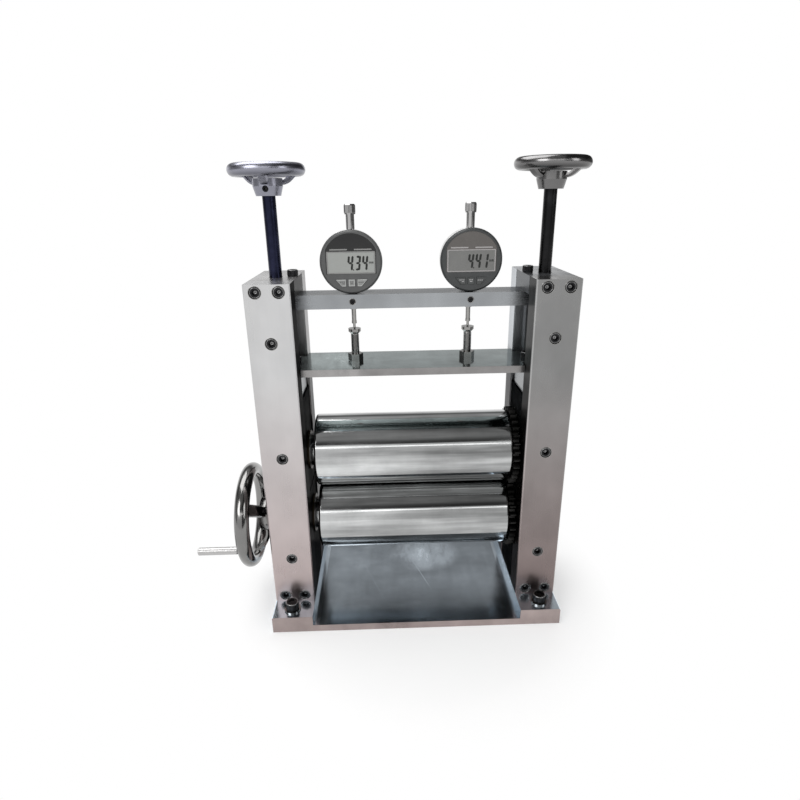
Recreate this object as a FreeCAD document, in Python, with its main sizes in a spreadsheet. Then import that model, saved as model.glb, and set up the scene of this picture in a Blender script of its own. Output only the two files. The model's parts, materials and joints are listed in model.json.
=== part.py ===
import FreeCAD, Part

# Bench rolling mill for a jeweller: two ground rolls between two columns, the lower one driven by a
# handwheel on the left, the upper one carried by chocks that two lead screws raise and lower. Two
# dial gauges on a crossbar read the height of a plate that rides on the upper chocks.
#
# Frame: X to the right, Y to the rear, Z up. The origin is the middle of the base's underside, and
# the axis of the lower roll stands straight above it. Everything is in millimetres.

import math
import os
import re

import Sketcher
from FreeCAD import Placement, Rotation, Vector

SIZES = (
    ("column_width", 41.5, "One column, seen from the front"),
    ("column_depth", 100.0, "Over the front and rear bars of a column"),
    ("column_top", 352.0, "Height of the columns above the table"),
    ("bar_thickness", 24.0, "Front to rear of one column bar"),
    ("bar_chamfer", 1.2, "Upright edges of a column bar"),
    ("base_thickness", 18.0, "Feet of the base"),
    ("channel_floor", 7.5, "Base left under the channel between the feet"),
    ("base_chamfer", 1.0, "Outer top edges of the base"),
    ("foot_overhang", 26.5, "Feet in front of and behind the columns"),
    ("foot_bolt_inset", 19.5, "Foot bolt to the side of the base"),
    ("foot_bolt_diameter", 8.0, "Shank of a foot bolt"),
    ("foot_bolt_head_diameter", 13.0, "Head of a foot bolt"),
    ("foot_bolt_head_height", 8.0, "Head of a foot bolt"),
    ("foot_bolt_length", 18.6, "Foot bolt under its head"),
    ("foot_bolt_socket", 6.0, "Hexagon in the head of a foot bolt, across flats"),
    ("washer_diameter", 17.0, "Washer under a foot bolt"),
    ("washer_thickness", 1.6, "Washer under a foot bolt"),
    ("base_screw_diameter", 8.0, "Screw from under the base into a bar"),
    ("base_screw_head_diameter", 13.0, "Head of a base screw"),
    ("base_screw_head_height", 8.0, "Head of a base screw"),
    ("base_screw_socket", 6.0, "Hexagon in the head of a base screw, across flats"),
    ("base_screw_grip", 16.0, "Base screw inside its bar"),
    ("base_screw_recess", 9.0, "Counterbore under the base"),
    ("screw_diameter", 6.0, "Shank of a column screw"),
    ("screw_head_diameter", 10.0, "Head of a column screw"),
    ("screw_head_height", 6.0, "Head of a column screw"),
    ("screw_socket", 5.0, "Hexagon in the head of a column screw, across flats"),
    ("screw_recess", 6.3, "Depth of a counterbore in a bar"),
    ("head_clearance", 0.5, "Round the head of a sunk screw"),
    ("screw_clearance", 0.2, "Round the shank of a screw in a plain hole"),
    ("pair_spacing", 20.6, "Between the two screws of a pair"),
    ("top_pair_drop", 7.0, "Upper pair below the column's top"),
    ("foot_pair_rise", 6.8, "Lower pair above the base's feet"),
    ("block_screw_grip", 12.0, "Paired screws inside the block or chock behind the bar"),
    ("rail_screw_height", 70.5, "Lowest rail screw above the table"),
    ("rail_screw_step", 114.3, "From one rail screw up to the next"),
    ("rail_screw_short", 0.6, "End of a rail screw below the rail's face"),
    ("rail_width", 20.0, "Guide rail on a bar, seen from the front"),
    ("rail_thickness", 5.0, "Guide rail out of its bar"),
    ("rail_top_gap", 1.5, "Rail to the top block"),
    ("rail_foot_gap", 2.5, "Rail to the shanks of the lower pair of screws"),
    ("slide_clearance", 0.08, "Chock to bar and to rail"),
    ("top_block_height", 16.5, "Block between the bars at the column's top"),
    ("nut_diameter", 20.0, "Bronze nut in the top block"),
    ("nut_cover", 3.0, "Top block left above the nut"),
    ("lead_hole_clearance", 0.5, "Round the lead screw where nothing guides it"),
    ("thread_clearance", 0.05, "Lead screw in its nut"),
    ("roll_length", 200.0, "Barrel of a roll"),
    ("roll_diameter", 75.0, "Barrel of a roll"),
    ("roll_edge_radius", 2.5, "Rounded ends of a barrel"),
    ("roll_axis_height", 95.5, "Lower roll above the table"),
    ("roll_gap", 1.2, "Between the barrels as the mill stands"),
    ("gear_end_gap", 1.2, "Roll gear to the column's inner face"),
    ("shoulder_diameter", 34.0, "Roll between barrel and journal"),
    ("journal_diameter", 25.0, "Roll inside its bush"),
    ("journal_clearance", 0.04, "Journal in its bush, on the radius"),
    ("journal_short", 1.0, "End of a journal inside the chock's outer face"),
    ("side_play", 0.1, "Shoulder to the flange of the bush"),
    ("bush_wall", 3.5, "Bush round a journal"),
    ("bush_flange_rim", 4.5, "Flange of a bush beyond its wall"),
    ("bush_flange_thickness", 2.0, "Flange of a bush"),
    ("chock_setback", 1.0, "Chock's ends behind the column's faces"),
    ("chock_gap", 2.5, "Between lower and upper chock as the mill stands"),
    ("upper_chock_head", 63.3, "Upper chock above its roll's axis"),
    ("gear_teeth", 30, "Teeth of a roll gear, whose pitch circle is as large as its roll"),
    ("gear_pressure_angle", 20.0, "Degrees"),
    ("gear_addendum", 3.2, "Tooth outside the pitch circle"),
    ("gear_dedendum", 3.5, "Tooth inside the pitch circle"),
    ("gear_backlash", 0.15, "Tooth thinned at the pitch circle"),
    ("gear_face_width", 6.0, "Roll gear along the roll"),
    ("gear_roll_gap", 0.3, "Roll gear to the ends of the barrels, so that it clears the other roll"),
    ("thrust_block_width", 36.0, "Along the rolls"),
    ("thrust_side_gap", 1.0, "Thrust block and the plate's tongue to a guide rail"),
    ("thrust_block_height", 26.5, "Upper chock to gauge plate"),
    ("thrust_play", 0.1, "Collar of the lead screw in its pocket, above and below"),
    ("pad_thickness", 2.0, "Hard pad under the lead screw"),
    ("collar_diameter", 16.0, "Collar at the foot of a lead screw"),
    ("collar_height", 6.0, "Collar at the foot of a lead screw"),
    ("collar_clearance", 0.5, "Round the collar in the thrust block"),
    ("lead_screw_diameter", 12.0, "Lead screw"),
    ("plate_screw_diameter", 5.0, "Screw through plate and thrust block"),
    ("plate_screw_head_diameter", 8.5, "Head of a plate screw"),
    ("plate_screw_head_height", 5.0, "Head of a plate screw"),
    ("plate_screw_socket", 4.0, "Hexagon in the head of a plate screw, across flats"),
    ("plate_screw_spacing", 27.0, "Between the two plate screws of a chock"),
    ("plate_screw_grip", 11.0, "Plate screw inside the upper chock"),
    ("plate_thickness", 7.0, "Gauge plate"),
    ("plate_depth", 64.0, "Gauge plate between the columns, front to rear"),
    ("plate_end_gap", 0.6, "Gauge plate to the column's inner face"),
    ("crossbar_height", 13.5, "Gauge crossbar"),
    ("crossbar_depth", 30.0, "Gauge crossbar, front to rear"),
    ("crossbar_rear_gap", 1.0, "Gauge crossbar to the planes of the rear rails"),
    ("end_screw_inset", 5.5, "Crossbar's end screw to the column's inner face"),
    ("end_screw_grip", 10.0, "End screw inside the crossbar"),
    ("crossbar_end_margin", 5.5, "Crossbar beyond its end screw"),
    ("clamp_screw_diameter", 5.5, "Screw in the crossbar's front against a gauge stem"),
    ("clamp_screw_recess", 1.5, "Clamp screw inside the crossbar's front face"),
    ("clamp_screw_socket", 2.5, "Hexagon in a clamp screw, across flats"),
    ("gauge_inset", 51.3, "Gauge's axis to the column's inner face"),
    ("dial_diameter", 58.0, "Face ring of a gauge"),
    ("dial_gap", 0.5, "Face ring above the crossbar"),
    ("dial_front", 13.5, "Face of a gauge in front of its stem's axis"),
    ("dial_thickness", 8.5, "Face ring, front to rear"),
    ("dial_chamfer", 1.6, "Front edge of the face ring"),
    ("case_diameter", 56.4, "Metal case behind the face ring"),
    ("case_depth", 14.0, "Metal case, front to rear"),
    ("case_chamfer", 2.0, "Rear edge of the case"),
    ("window_radius", 26.0, "Round top of the window"),
    ("window_width", 46.6, "Across the window"),
    ("window_drop", 10.6, "Window's lower edge below the dial's centre"),
    ("window_recess", 1.5, "Depth of the seat of the window"),
    ("window_thickness", 1.3, "Window pane"),
    ("window_gap", 0.1, "Round the window pane in its seat"),
    ("button_inner", 5.5, "Inner edge of a side button from the middle"),
    ("button_outer", 14.6, "Upper outer corner of a side button from the middle"),
    ("button_slant", 9.4, "Lower outer corner of a side button from the middle"),
    ("button_top", 15.6, "Top of the buttons below the dial's centre"),
    ("button_height", 6.2, "Buttons, up and down"),
    ("middle_button_width", 5.6, "Middle button"),
    ("button_gap", 0.2, "Round a button in its well"),
    ("button_stand", 0.8, "Button out of the face"),
    ("button_depth", 1.4, "Button inside its well"),
    ("button_well", 2.6, "Depth of a button's well"),
    ("stem_diameter", 8.0, "Stem of a gauge, and its upper tube"),
    ("stem_clearance", 0.03, "Stem in the crossbar, on the radius"),
    ("stem_seat", 6.0, "Stem inside the case"),
    ("stem_below", 2.5, "Stem under the crossbar"),
    ("spindle_diameter", 4.6, "Spindle of a gauge"),
    ("spindle_clearance", 0.05, "Spindle in its stem, on the radius"),
    ("spindle_bore_depth", 14.0, "Bore for the spindle above the stem"),
    ("spindle_inside", 4.0, "Spindle above the stem's upper end"),
    ("spindle_collar_diameter", 5.0, "Contact point's collar"),
    ("spindle_collar_height", 2.5, "Contact point's collar"),
    ("contact_diameter", 2.6, "Contact point"),
    ("contact_length", 5.0, "Contact point below its collar"),
    ("contact_gap", 0.1, "Contact point to the anvil"),
    ("tube_length", 14.0, "Upper tube of a gauge, out of the case"),
    ("tube_seat", 4.0, "Upper tube inside the case"),
    ("cap_diameter", 10.4, "Cap on the upper tube"),
    ("cap_height", 9.0, "Cap on the upper tube"),
    ("cap_chamfer", 0.8, "Edges of the cap"),
    ("anvil_diameter", 7.5, "Shank of an anvil screw"),
    ("anvil_height", 31.5, "Anvil screw above the gauge plate"),
    ("anvil_head_diameter", 12.4, "Head of an anvil screw"),
    ("anvil_head_height", 2.8, "Rim of the head of an anvil screw"),
    ("anvil_cone_height", 2.6, "Cone under the head of an anvil screw"),
    ("anvil_nut_flats", 13.0, "Lock nut of an anvil screw, across flats"),
    ("anvil_nut_height", 6.2, "Lock nut of an anvil screw"),
    ("lift_stand", 72.0, "Left adjusting wheel's hub above the column"),
    ("lift_right_extra", 2.5, "Right adjusting wheel higher than the left one"),
    ("lift_wheel_diameter", 68.6, "Over the rim of an adjusting wheel"),
    ("lift_rim_thickness", 11.2, "Rim of an adjusting wheel"),
    ("lift_hub_diameter", 22.4, "Free end of the hub"),
    ("lift_hub_top_diameter", 27.0, "Hub where the spokes leave it"),
    ("lift_hub_length", 14.8, "Hub of an adjusting wheel"),
    ("lift_hub_reach", 21.8, "Middle of the rim to the free end of the hub"),
    ("lift_spoke_width", 9.0, "Spoke of an adjusting wheel"),
    ("lift_spoke_thickness", 4.6, "Spoke of an adjusting wheel"),
    ("lift_set_screw", 5.5, "Set screw hole in the hub"),
    ("dish_shoulder", 0.65, "Where a spoke leaves the level of the hub, as a share of the rim's radius"),
    ("dish_knee", 0.84, "Where a spoke is half way up to the rim, as a share of the rim's radius"),
    ("drive_reach", 27.5, "Column's outer face to the middle of the drive wheel's rim"),
    ("drive_shaft_diameter", 18.0, "Lower roll's shaft in the drive wheel"),
    ("drive_shaft_short", 1.5, "End of the shaft inside the hub"),
    ("drive_wheel_diameter", 113.0, "Over the rim of the drive wheel"),
    ("drive_rim_thickness", 15.0, "Rim of the drive wheel"),
    ("drive_hub_diameter", 32.0, "Hub's end beside the column"),
    ("drive_hub_top_diameter", 36.0, "Hub where the spokes leave it"),
    ("drive_hub_length", 14.0, "Hub of the drive wheel"),
    ("drive_hub_reach", 24.5, "Middle of the rim to the hub's end beside the column"),
    ("drive_spoke_width", 13.5, "Spoke of the drive wheel"),
    ("drive_spoke_thickness", 5.5, "Spoke of the drive wheel"),
    ("drive_set_screw", 6.0, "Set screw hole in the hub"),
    ("spoke_angle", 35.0, "First drive spoke above the level towards the front, degrees"),
    ("crank_angle", 18.0, "Crank below the level towards the front, degrees"),
    ("crank_diameter", 8.0, "Rod of the crank handle"),
    ("crank_length", 47.5, "End of the crank handle from the middle of the rim"),
    ("crank_chamfer", 0.9, "End of the crank handle"),
    ("crank_shoulder_gap", 0.1, "Shoulder of the crank handle off the rim's crown"),
    ("crank_stud_diameter", 6.0, "Stud of the crank handle in the rim"),
    ("crank_stud_length", 11.0, "Stud of the crank handle below its shoulder"),
)

# Places that follow from the sizes, as formulas of them and of each other.
PLACES = {
    "column_inner": "roll_length / 2 + gear_roll_gap + gear_face_width + gear_end_gap",
    "column_centre": "column_inner + column_width / 2",
    "half_width": "column_inner + column_width",
    "half_depth": "column_depth / 2",
    "window_half": "column_depth / 2 - bar_thickness",
    "foot_centre": "column_depth / 2 + foot_overhang / 2",
    "foot_bolt_x": "half_width - foot_bolt_inset",
    "top_block_foot": "column_top - top_block_height",
    "top_pair_height": "column_top - top_pair_drop",
    "foot_pair_height": "base_thickness + foot_pair_rise",
    "rail_foot": "foot_pair_height + screw_diameter / 2 + rail_foot_gap",
    "bar_middle": "column_depth / 2 - bar_thickness / 2",
    "rail_face": "window_half - rail_thickness",
    "thrust_half": "rail_face - thrust_side_gap",
    "gauge_setback": "rail_face - crossbar_rear_gap - crossbar_depth / 2",
    "bush_radius": "journal_diameter / 2 + journal_clearance + bush_wall",
    "chock_inner": "column_inner + chock_setback",
    "chock_outer": "half_width - chock_setback",
    "upper_axis": "roll_axis_height + roll_diameter + roll_gap",
    "nip_height": "roll_axis_height + roll_diameter / 2 + roll_gap / 2",
    "upper_chock_top": "upper_axis + upper_chock_head",
    "plate_foot": "upper_chock_top + thrust_block_height",
    "plate_top": "plate_foot + plate_thickness",
    "lead_foot": "upper_chock_top + pad_thickness + thrust_play",
    "collar_pocket": "pad_thickness + collar_height + 2 * thrust_play",
    "lift_hub_foot": "column_top + lift_stand",
    "gauge_x": "column_inner - gauge_inset",
    "crossbar_foot": "top_block_foot - crossbar_height",
    "end_screw_x": "column_inner + end_screw_inset",
    "dial_height": "top_block_foot + dial_gap + dial_diameter / 2",
    "case_radius": "case_diameter / 2",
    "stem_foot": "crossbar_foot - stem_below - dial_height",
    "anvil_top": "plate_top + anvil_height",
    "spindle_foot": "anvil_top + contact_gap",
    "drive_plane": "half_width + drive_reach",
    "drive_rim_radius": "drive_wheel_diameter / 2 - drive_rim_thickness / 2",
    "lift_rim_radius": "lift_wheel_diameter / 2 - lift_rim_thickness / 2",
    "crank_foot": "drive_rim_thickness / 2 + crank_shoulder_gap",
}

SIDES = (("left", -1), ("right", 1))
ROWS = (("front", -1), ("rear", 1))
UPRIGHT = Rotation()
TURNED = Rotation(Vector(0, 0, 1), 180)
FACING_FRONT = Rotation(Vector(1, 0, 0), 90)
FACING_REAR = Rotation(Vector(1, 0, 0), -90)
UPSIDE_DOWN = Rotation(Vector(1, 0, 0), 180)
WORD = re.compile(r"[a-z][a-z_]*[a-z]")

doc = FreeCAD.newDocument("rolling_mill")
sheet = doc.addObject("Spreadsheet::Sheet", "sizes")
nodes = []


def fill_sheet():
    """One row for each size: what it is, and its value under its name."""
    for row, (name, number, meaning) in enumerate(SIZES, start=1):
        sheet.set("A%d" % row, meaning)
        sheet.set("B%d" % row, str(number))
        sheet.setAlias("B%d" % row, name)
    doc.recompute()


def size(name):
    """The number in one cell."""
    return float(sheet.get(name))


# ---------------------------------------------------------------- formulas and common operations

ALIASES = {name for name, number, meaning in SIZES}


def spelled(formula):
    """The formula with each place worked out and each size pointing at its cell."""
    def replaced(match):
        word = match.group(0)
        if word in PLACES:
            return "(" + spelled(PLACES[word]) + ")"
        return "sizes." + word if word in ALIASES else word
    return WORD.sub(replaced, formula)


def bind(thing, prop, formula):
    thing.setExpression(prop, spelled(str(formula)))


def place(thing, x="0", y="0", z="0", turn=UPRIGHT):
    """Sets a thing down at a point given by three formulas."""
    thing.Placement = Placement(Vector(), turn)
    for axis, formula in (("x", x), ("y", y), ("z", z)):
        bind(thing, "Placement.Base." + axis, formula)
    return thing


def node(thing, label):
    """Marks a thing as a piece of the mill, under the name of its file."""
    thing.Label = label
    nodes.append(thing)
    return thing


def new_body(name):
    return doc.addObject("PartDesign::Body", name)


def new_sketch(body, plane, offset="0"):
    """A sketch on one of the body's own origin planes, moved along the plane's normal."""
    sketch = body.newObject("Sketcher::SketchObject", body.Name + "_sketch")
    support = [item for item in body.Origin.OriginFeatures if item.Role == plane][0]
    sketch.AttachmentSupport = [(support, "")]
    sketch.MapMode = "FlatFace"
    bind(sketch, "AttachmentOffset.Base.z", offset)
    return sketch


def held(sketch, kind, geometry, point, formula):
    """Holds a point of the sketch at a distance from the sketch's origin."""
    index = sketch.addConstraint(Sketcher.Constraint(kind, -1, 1, geometry, point, 1.0))
    bind(sketch, "Constraints[%d]" % index, formula)


def outline(sketch, corners):
    """A closed outline of straight lines whose corners are pairs of formulas."""
    first = sketch.GeometryCount
    count = len(corners)
    ring = [Vector(math.cos(2 * math.pi * k / count), math.sin(2 * math.pi * k / count), 0)
            for k in range(count)]
    for k in range(count):
        sketch.addGeometry(Part.LineSegment(ring[k], ring[(k + 1) % count]), False)
    for k, (x, y) in enumerate(corners):
        following = first + (k + 1) % count
        sketch.addConstraint(Sketcher.Constraint("Coincident", first + k, 2, following, 1))
        held(sketch, "DistanceX", first + k, 1, x)
        held(sketch, "DistanceY", first + k, 1, y)
    return sketch


def circle(sketch, x, y, radius):
    """A circle whose centre and radius are formulas."""
    index = sketch.addGeometry(Part.Circle(Vector(), Vector(0, 0, 1), 1.0), False)
    held(sketch, "DistanceX", index, 3, x)
    held(sketch, "DistanceY", index, 3, y)
    datum = sketch.addConstraint(Sketcher.Constraint("Radius", index, 1.0))
    bind(sketch, "Constraints[%d]" % datum, radius)
    return sketch


def pad(body, sketch, length, symmetric=False):
    feature = body.newObject("PartDesign::Pad", body.Name + "_pad")
    feature.Profile = sketch
    feature.SideType = "Symmetric" if symmetric else "One side"
    bind(feature, "Length", length)
    return feature


def pocket(body, sketch, depth=None, along_normal=False):
    """Cuts a sketch out of the body: to a depth, or right through both ways without one."""
    feature = body.newObject("PartDesign::Pocket", body.Name + "_pocket")
    feature.Profile = sketch
    if depth is None:
        feature.Type = "ThroughAll"
        feature.SideType = "Symmetric"
    else:
        feature.Reversed = along_normal
        bind(feature, "Length", depth)
    return feature


def turned(body, corners, axis, plane="XZ_Plane"):
    """Adds a solid of revolution: the outline of its half section, turned about a sketch axis."""
    sketch = outline(new_sketch(body, plane), corners)
    feature = body.newObject("PartDesign::Revolution", body.Name + "_turned")
    feature.Profile = sketch
    feature.ReferenceAxis = (sketch, [axis])
    return feature


def rectangle(x_start, x_end, y_start, y_end):
    return [(x_start, y_start), (x_end, y_start), (x_end, y_end), (x_start, y_end)]


def hexagon(flats, x="0", y="0"):
    """Corners of a hexagon with a given width across its flats."""
    return [("%s + %s / sqrt(3) * cos(%d deg)" % (x, flats, angle),
             "%s + %s / sqrt(3) * sin(%d deg)" % (y, flats, angle))
            for angle in range(0, 360, 60)]


def block(name, x, y, z):
    """A box between two formulas along each axis."""
    box = doc.addObject("Part::Box", name)
    for (start, end), edge, axis in zip((x, y, z), ("Length", "Width", "Height"), "xyz"):
        bind(box, edge, "(%s) - (%s)" % (end, start))
        bind(box, "Placement.Base." + axis, start)
    return box


def disc(name, radius, height, x="0", y="0", z="0", turn=UPRIGHT):
    """A cylinder that stands on the given point."""
    cylinder = doc.addObject("Part::Cylinder", name)
    bind(cylinder, "Radius", radius)
    bind(cylinder, "Height", height)
    return place(cylinder, x, y, z, turn)


def copies(label, piece, spots):
    """A group of separate copies of one piece, each at its own spot and turn."""
    links = []
    for x, y, z, turn in spots:
        link = doc.addObject("App::Link", piece.Name + "_copy")
        link.LinkedObject = piece
        links.append(place(link, x, y, z, turn))
    group = doc.addObject("Part::Compound", label)
    group.Links = links
    return node(group, label)


def cap_screw(name, prefix, length):
    """Socket cap screw: its head stands on the origin and its shank points down."""
    head, rise = prefix + "_head_diameter / 2", prefix + "_head_height"
    chamfer = "%s_head_height / 12" % prefix
    body = new_body(name)
    turned(body, [("0", "-(%s)" % length), (prefix + "_diameter / 2", "-(%s)" % length),
                  (prefix + "_diameter / 2", "0"), (head, "0"),
                  (head, "%s - %s" % (rise, chamfer)), ("%s - %s" % (head, chamfer), rise),
                  ("0", rise)], "V_Axis")
    socket = outline(new_sketch(body, "XY_Plane", rise), hexagon(prefix + "_socket"))
    pocket(body, socket, rise + " / 2")
    return body


# ---------------------------------------------------------------- base and columns

def base_plate():
    """Base milled from one plate: a channel between two feet that the columns stand on."""
    body = new_body("base")
    section = [("-half_width", "0"), ("half_width", "0"),
               ("half_width", "base_thickness - base_chamfer"),
               ("half_width - base_chamfer", "base_thickness"),
               ("column_inner", "base_thickness"), ("column_inner", "channel_floor"),
               ("-column_inner", "channel_floor"), ("-column_inner", "base_thickness"),
               ("base_chamfer - half_width", "base_thickness"),
               ("-half_width", "base_thickness - base_chamfer")]
    pad(body, outline(new_sketch(body, "XZ_Plane"), section),
        "column_depth + 2 * foot_overhang", symmetric=True)
    holes = new_sketch(body, "XY_Plane")
    recesses = new_sketch(body, "XY_Plane")
    for side, sign in SIDES:
        for row, depth in ROWS:
            circle(holes, "%d * foot_bolt_x" % sign, "%d * foot_centre" % depth,
                   "foot_bolt_diameter / 2")
            circle(holes, "%d * column_centre" % sign, "%d * bar_middle" % depth,
                   "base_screw_diameter / 2 + screw_clearance")
            circle(recesses, "%d * column_centre" % sign, "%d * bar_middle" % depth,
                   "base_screw_head_diameter / 2 + head_clearance")
    pocket(body, holes)
    pocket(body, recesses, "base_screw_recess", along_normal=True)
    return node(body, "base_plate")


def bar_screw_spots(pairs_only=False):
    """Screws in a bar's outer face, across from the bar's middle and up from the table."""
    pairs = [("%d * pair_spacing / 2" % across, height)
             for height in ("top_pair_height", "foot_pair_height") for across in (-1, 1)]
    singles = [("0", "rail_screw_height + %d * rail_screw_step" % k) for k in range(3)]
    return pairs if pairs_only else pairs + singles


def column_bar(side, sign, row, depth):
    """Upright bar of a column. Its own frame has the outer face at Y 0 and the bar behind it."""
    body = new_body("%s_%s_bar" % (side, row))
    half, edge, back = "column_width / 2", "bar_chamfer", "bar_thickness"
    plan = [("bar_chamfer - " + half, "0"), (half + " - bar_chamfer", "0"),
            (half, edge), (half, back + " - bar_chamfer"),
            (half + " - bar_chamfer", back), ("bar_chamfer - " + half, back),
            ("-" + half, back + " - bar_chamfer"), ("-" + half, edge)]
    pad(body, outline(new_sketch(body, "XY_Plane", "base_thickness"), plan),
        "column_top - base_thickness")
    holes, recesses = new_sketch(body, "XZ_Plane"), new_sketch(body, "XZ_Plane")
    for across, height in bar_screw_spots():
        circle(holes, across, height, "screw_diameter / 2 + screw_clearance")
        circle(recesses, across, height, "screw_head_diameter / 2 + head_clearance")
    pocket(body, holes)
    pocket(body, recesses, "screw_recess")
    thread = circle(new_sketch(body, "XY_Plane", "base_thickness"), "0", "bar_thickness / 2",
                    "base_screw_diameter / 2")
    pocket(body, thread, "base_screw_grip", along_normal=True)
    place(body, "%d * column_centre" % sign, "%d * half_depth" % depth, "0",
          UPRIGHT if depth < 0 else TURNED)
    return node(body, "%s_%s_column_bar" % (side, row))


def guide_rails():
    """Rail on the inner face of each bar, in the frame of the bar, up to the top block."""
    rail = new_body("guide_rail")
    edge = "rail_width / 2"
    plan = rectangle("-" + edge, edge, "bar_thickness", "bar_thickness + rail_thickness")
    pad(rail, outline(new_sketch(rail, "XY_Plane", "rail_foot"), plan),
        "top_block_foot - rail_top_gap - (rail_foot)")
    threads = new_sketch(rail, "XZ_Plane")
    for k in range(3):
        circle(threads, "0", "rail_screw_height + %d * rail_screw_step" % k, "screw_diameter / 2")
    pocket(rail, threads)
    spots = [("%d * column_centre" % sign, "%d * half_depth" % depth, "0",
              UPRIGHT if depth < 0 else TURNED) for side, sign in SIDES for row, depth in ROWS]
    return copies("guide_rails", rail, spots)


def top_block(side, sign):
    """Block between the bars at the column's top, bored from below for the lead screw's nut."""
    body = new_body(side + "_top")
    plan = rectangle("%d * column_inner" % sign, "%d * half_width" % sign,
                     "-window_half", "window_half")
    pad(body, outline(new_sketch(body, "XY_Plane", "top_block_foot"), plan), "top_block_height")
    centre = "%d * column_centre" % sign
    nut = circle(new_sketch(body, "XY_Plane", "top_block_foot"), centre, "0", "nut_diameter / 2")
    pocket(body, nut, "top_block_height - nut_cover", along_normal=True)
    holes = new_sketch(body, "XY_Plane")
    circle(holes, centre, "0", "lead_screw_diameter / 2 + lead_hole_clearance")
    circle(holes, "%d * end_screw_x" % sign, "gauge_setback",
           "screw_diameter / 2 + screw_clearance")
    pocket(body, holes)
    for row, depth in ROWS:
        threads = new_sketch(body, "XZ_Plane", "%d * -window_half" % depth)
        for across in (-1, 1):
            circle(threads, "%s + %d * pair_spacing / 2" % (centre, across), "top_pair_height",
                   "screw_diameter / 2")
        pocket(body, threads, "block_screw_grip", along_normal=depth > 0)
    return node(body, side + "_top_block")


def screw_nuts():
    """Bronze nut of each lead screw, pressed into its top block from below."""
    body = new_body("screw_nut")
    bore = "lead_screw_diameter / 2 + thread_clearance"
    turned(body, [(bore, "0"), ("nut_diameter / 2", "0"),
                  ("nut_diameter / 2", "top_block_height - nut_cover"),
                  (bore, "top_block_height - nut_cover")], "V_Axis")
    spots = [("%d * column_centre" % sign, "0", "top_block_foot", UPRIGHT) for side, sign in SIDES]
    return copies("lead_screw_nuts", body, spots)


def column_screws():
    """Cap screws sunk in the outer faces of the bars: pairs into block and chock, singles into rails."""
    paired = cap_screw("pair_screw", "screw", "bar_thickness - screw_recess + block_screw_grip")
    single = cap_screw("rail_screw", "screw",
                       "bar_thickness - screw_recess + rail_thickness - rail_screw_short")
    pair_spots, single_spots = [], []
    for side, sign in SIDES:
        for row, depth in ROWS:
            turn = FACING_FRONT if depth < 0 else FACING_REAR
            seat = "%d * (half_depth - screw_recess)" % depth
            for across, height in bar_screw_spots():
                spots = single_spots if across == "0" else pair_spots
                spots.append(("%d * column_centre + %s" % (sign, across), seat, height, turn))
    copies("column_pair_screws", paired, pair_spots)
    copies("guide_rail_screws", single, single_spots)


def foot_bolts():
    """Bolts that stand on washers on the feet, before and behind the columns."""
    bolt = cap_screw("foot_bolt", "foot_bolt", "foot_bolt_length")
    washer = new_body("foot_washer")
    turned(washer, rectangle("foot_bolt_diameter / 2", "washer_diameter / 2",
                             "0", "washer_thickness"), "V_Axis")
    corners = [(sign, depth) for side, sign in SIDES for row, depth in ROWS]
    copies("foot_bolts", bolt,
           [("%d * foot_bolt_x" % sign, "%d * foot_centre" % depth,
             "base_thickness + washer_thickness", UPRIGHT) for sign, depth in corners])
    copies("foot_washers", washer,
           [("%d * foot_bolt_x" % sign, "%d * foot_centre" % depth, "base_thickness", UPRIGHT)
            for sign, depth in corners])


def base_screws():
    """Screw up through the base into the foot of each bar, its head sunk in the underside."""
    screw = cap_screw("base_screw", "base_screw",
                      "base_thickness - base_screw_recess + base_screw_grip")
    copies("base_screws", screw,
           [("%d * column_centre" % sign, "%d * bar_middle" % depth, "base_screw_recess",
             UPSIDE_DOWN) for side, sign in SIDES for row, depth in ROWS])


# ---------------------------------------------------------------- chocks, bushes and rolls

def chock(label, sign, foot, top, axis):
    """Bearing chock between the bars: grooved for the rails, bored for its bush."""
    body = new_body(label)
    near, far = "%d * chock_inner" % sign, "%d * chock_outer" % sign
    centre, groove = "%d * column_centre" % sign, "(rail_width / 2 + slide_clearance)"
    start, end = "%s - %d * %s" % (centre, sign, groove), "%s + %d * %s" % (centre, sign, groove)
    face = "window_half - slide_clearance"
    floor = "rail_face - slide_clearance"
    rear = [(near, face), (start, face), (start, floor), (end, floor), (end, face), (far, face)]
    front = [(x, "-(%s)" % y) for x, y in reversed(rear)]
    pad(body, outline(new_sketch(body, "XY_Plane", foot), rear + front),
        "(%s) - (%s)" % (top, foot))
    pocket(body, circle(new_sketch(body, "YZ_Plane"), "0", axis, "bush_radius"))
    return body


def lower_chock(side, sign):
    """Fixed chock: it stands on the base and the lower pairs of screws hold it."""
    body = chock(side + "_lower_chock", sign, "base_thickness", "nip_height - chock_gap / 2",
                 "roll_axis_height")
    threads = new_sketch(body, "XZ_Plane")
    for across in (-1, 1):
        circle(threads, "%d * column_centre + %d * pair_spacing / 2" % (sign, across),
               "foot_pair_height", "screw_diameter / 2")
    pocket(body, threads)
    return node(body, side + "_lower_chock")


def plate_screw_spots(sign):
    return [("%d * column_centre + %d * plate_screw_spacing / 2" % (sign, across), "0")
            for across in (-1, 1)]


def upper_chock(side, sign):
    """Sliding chock, tapped in its top for the screws of thrust block and gauge plate."""
    body = chock(side + "_upper_chock", sign, "nip_height + chock_gap / 2", "upper_chock_top",
                 "upper_axis")
    threads = new_sketch(body, "XY_Plane", "upper_chock_top")
    for x, y in plate_screw_spots(sign):
        circle(threads, x, y, "plate_screw_diameter / 2")
    pocket(body, threads, "plate_screw_grip")
    return node(body, side + "_upper_chock")


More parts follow.
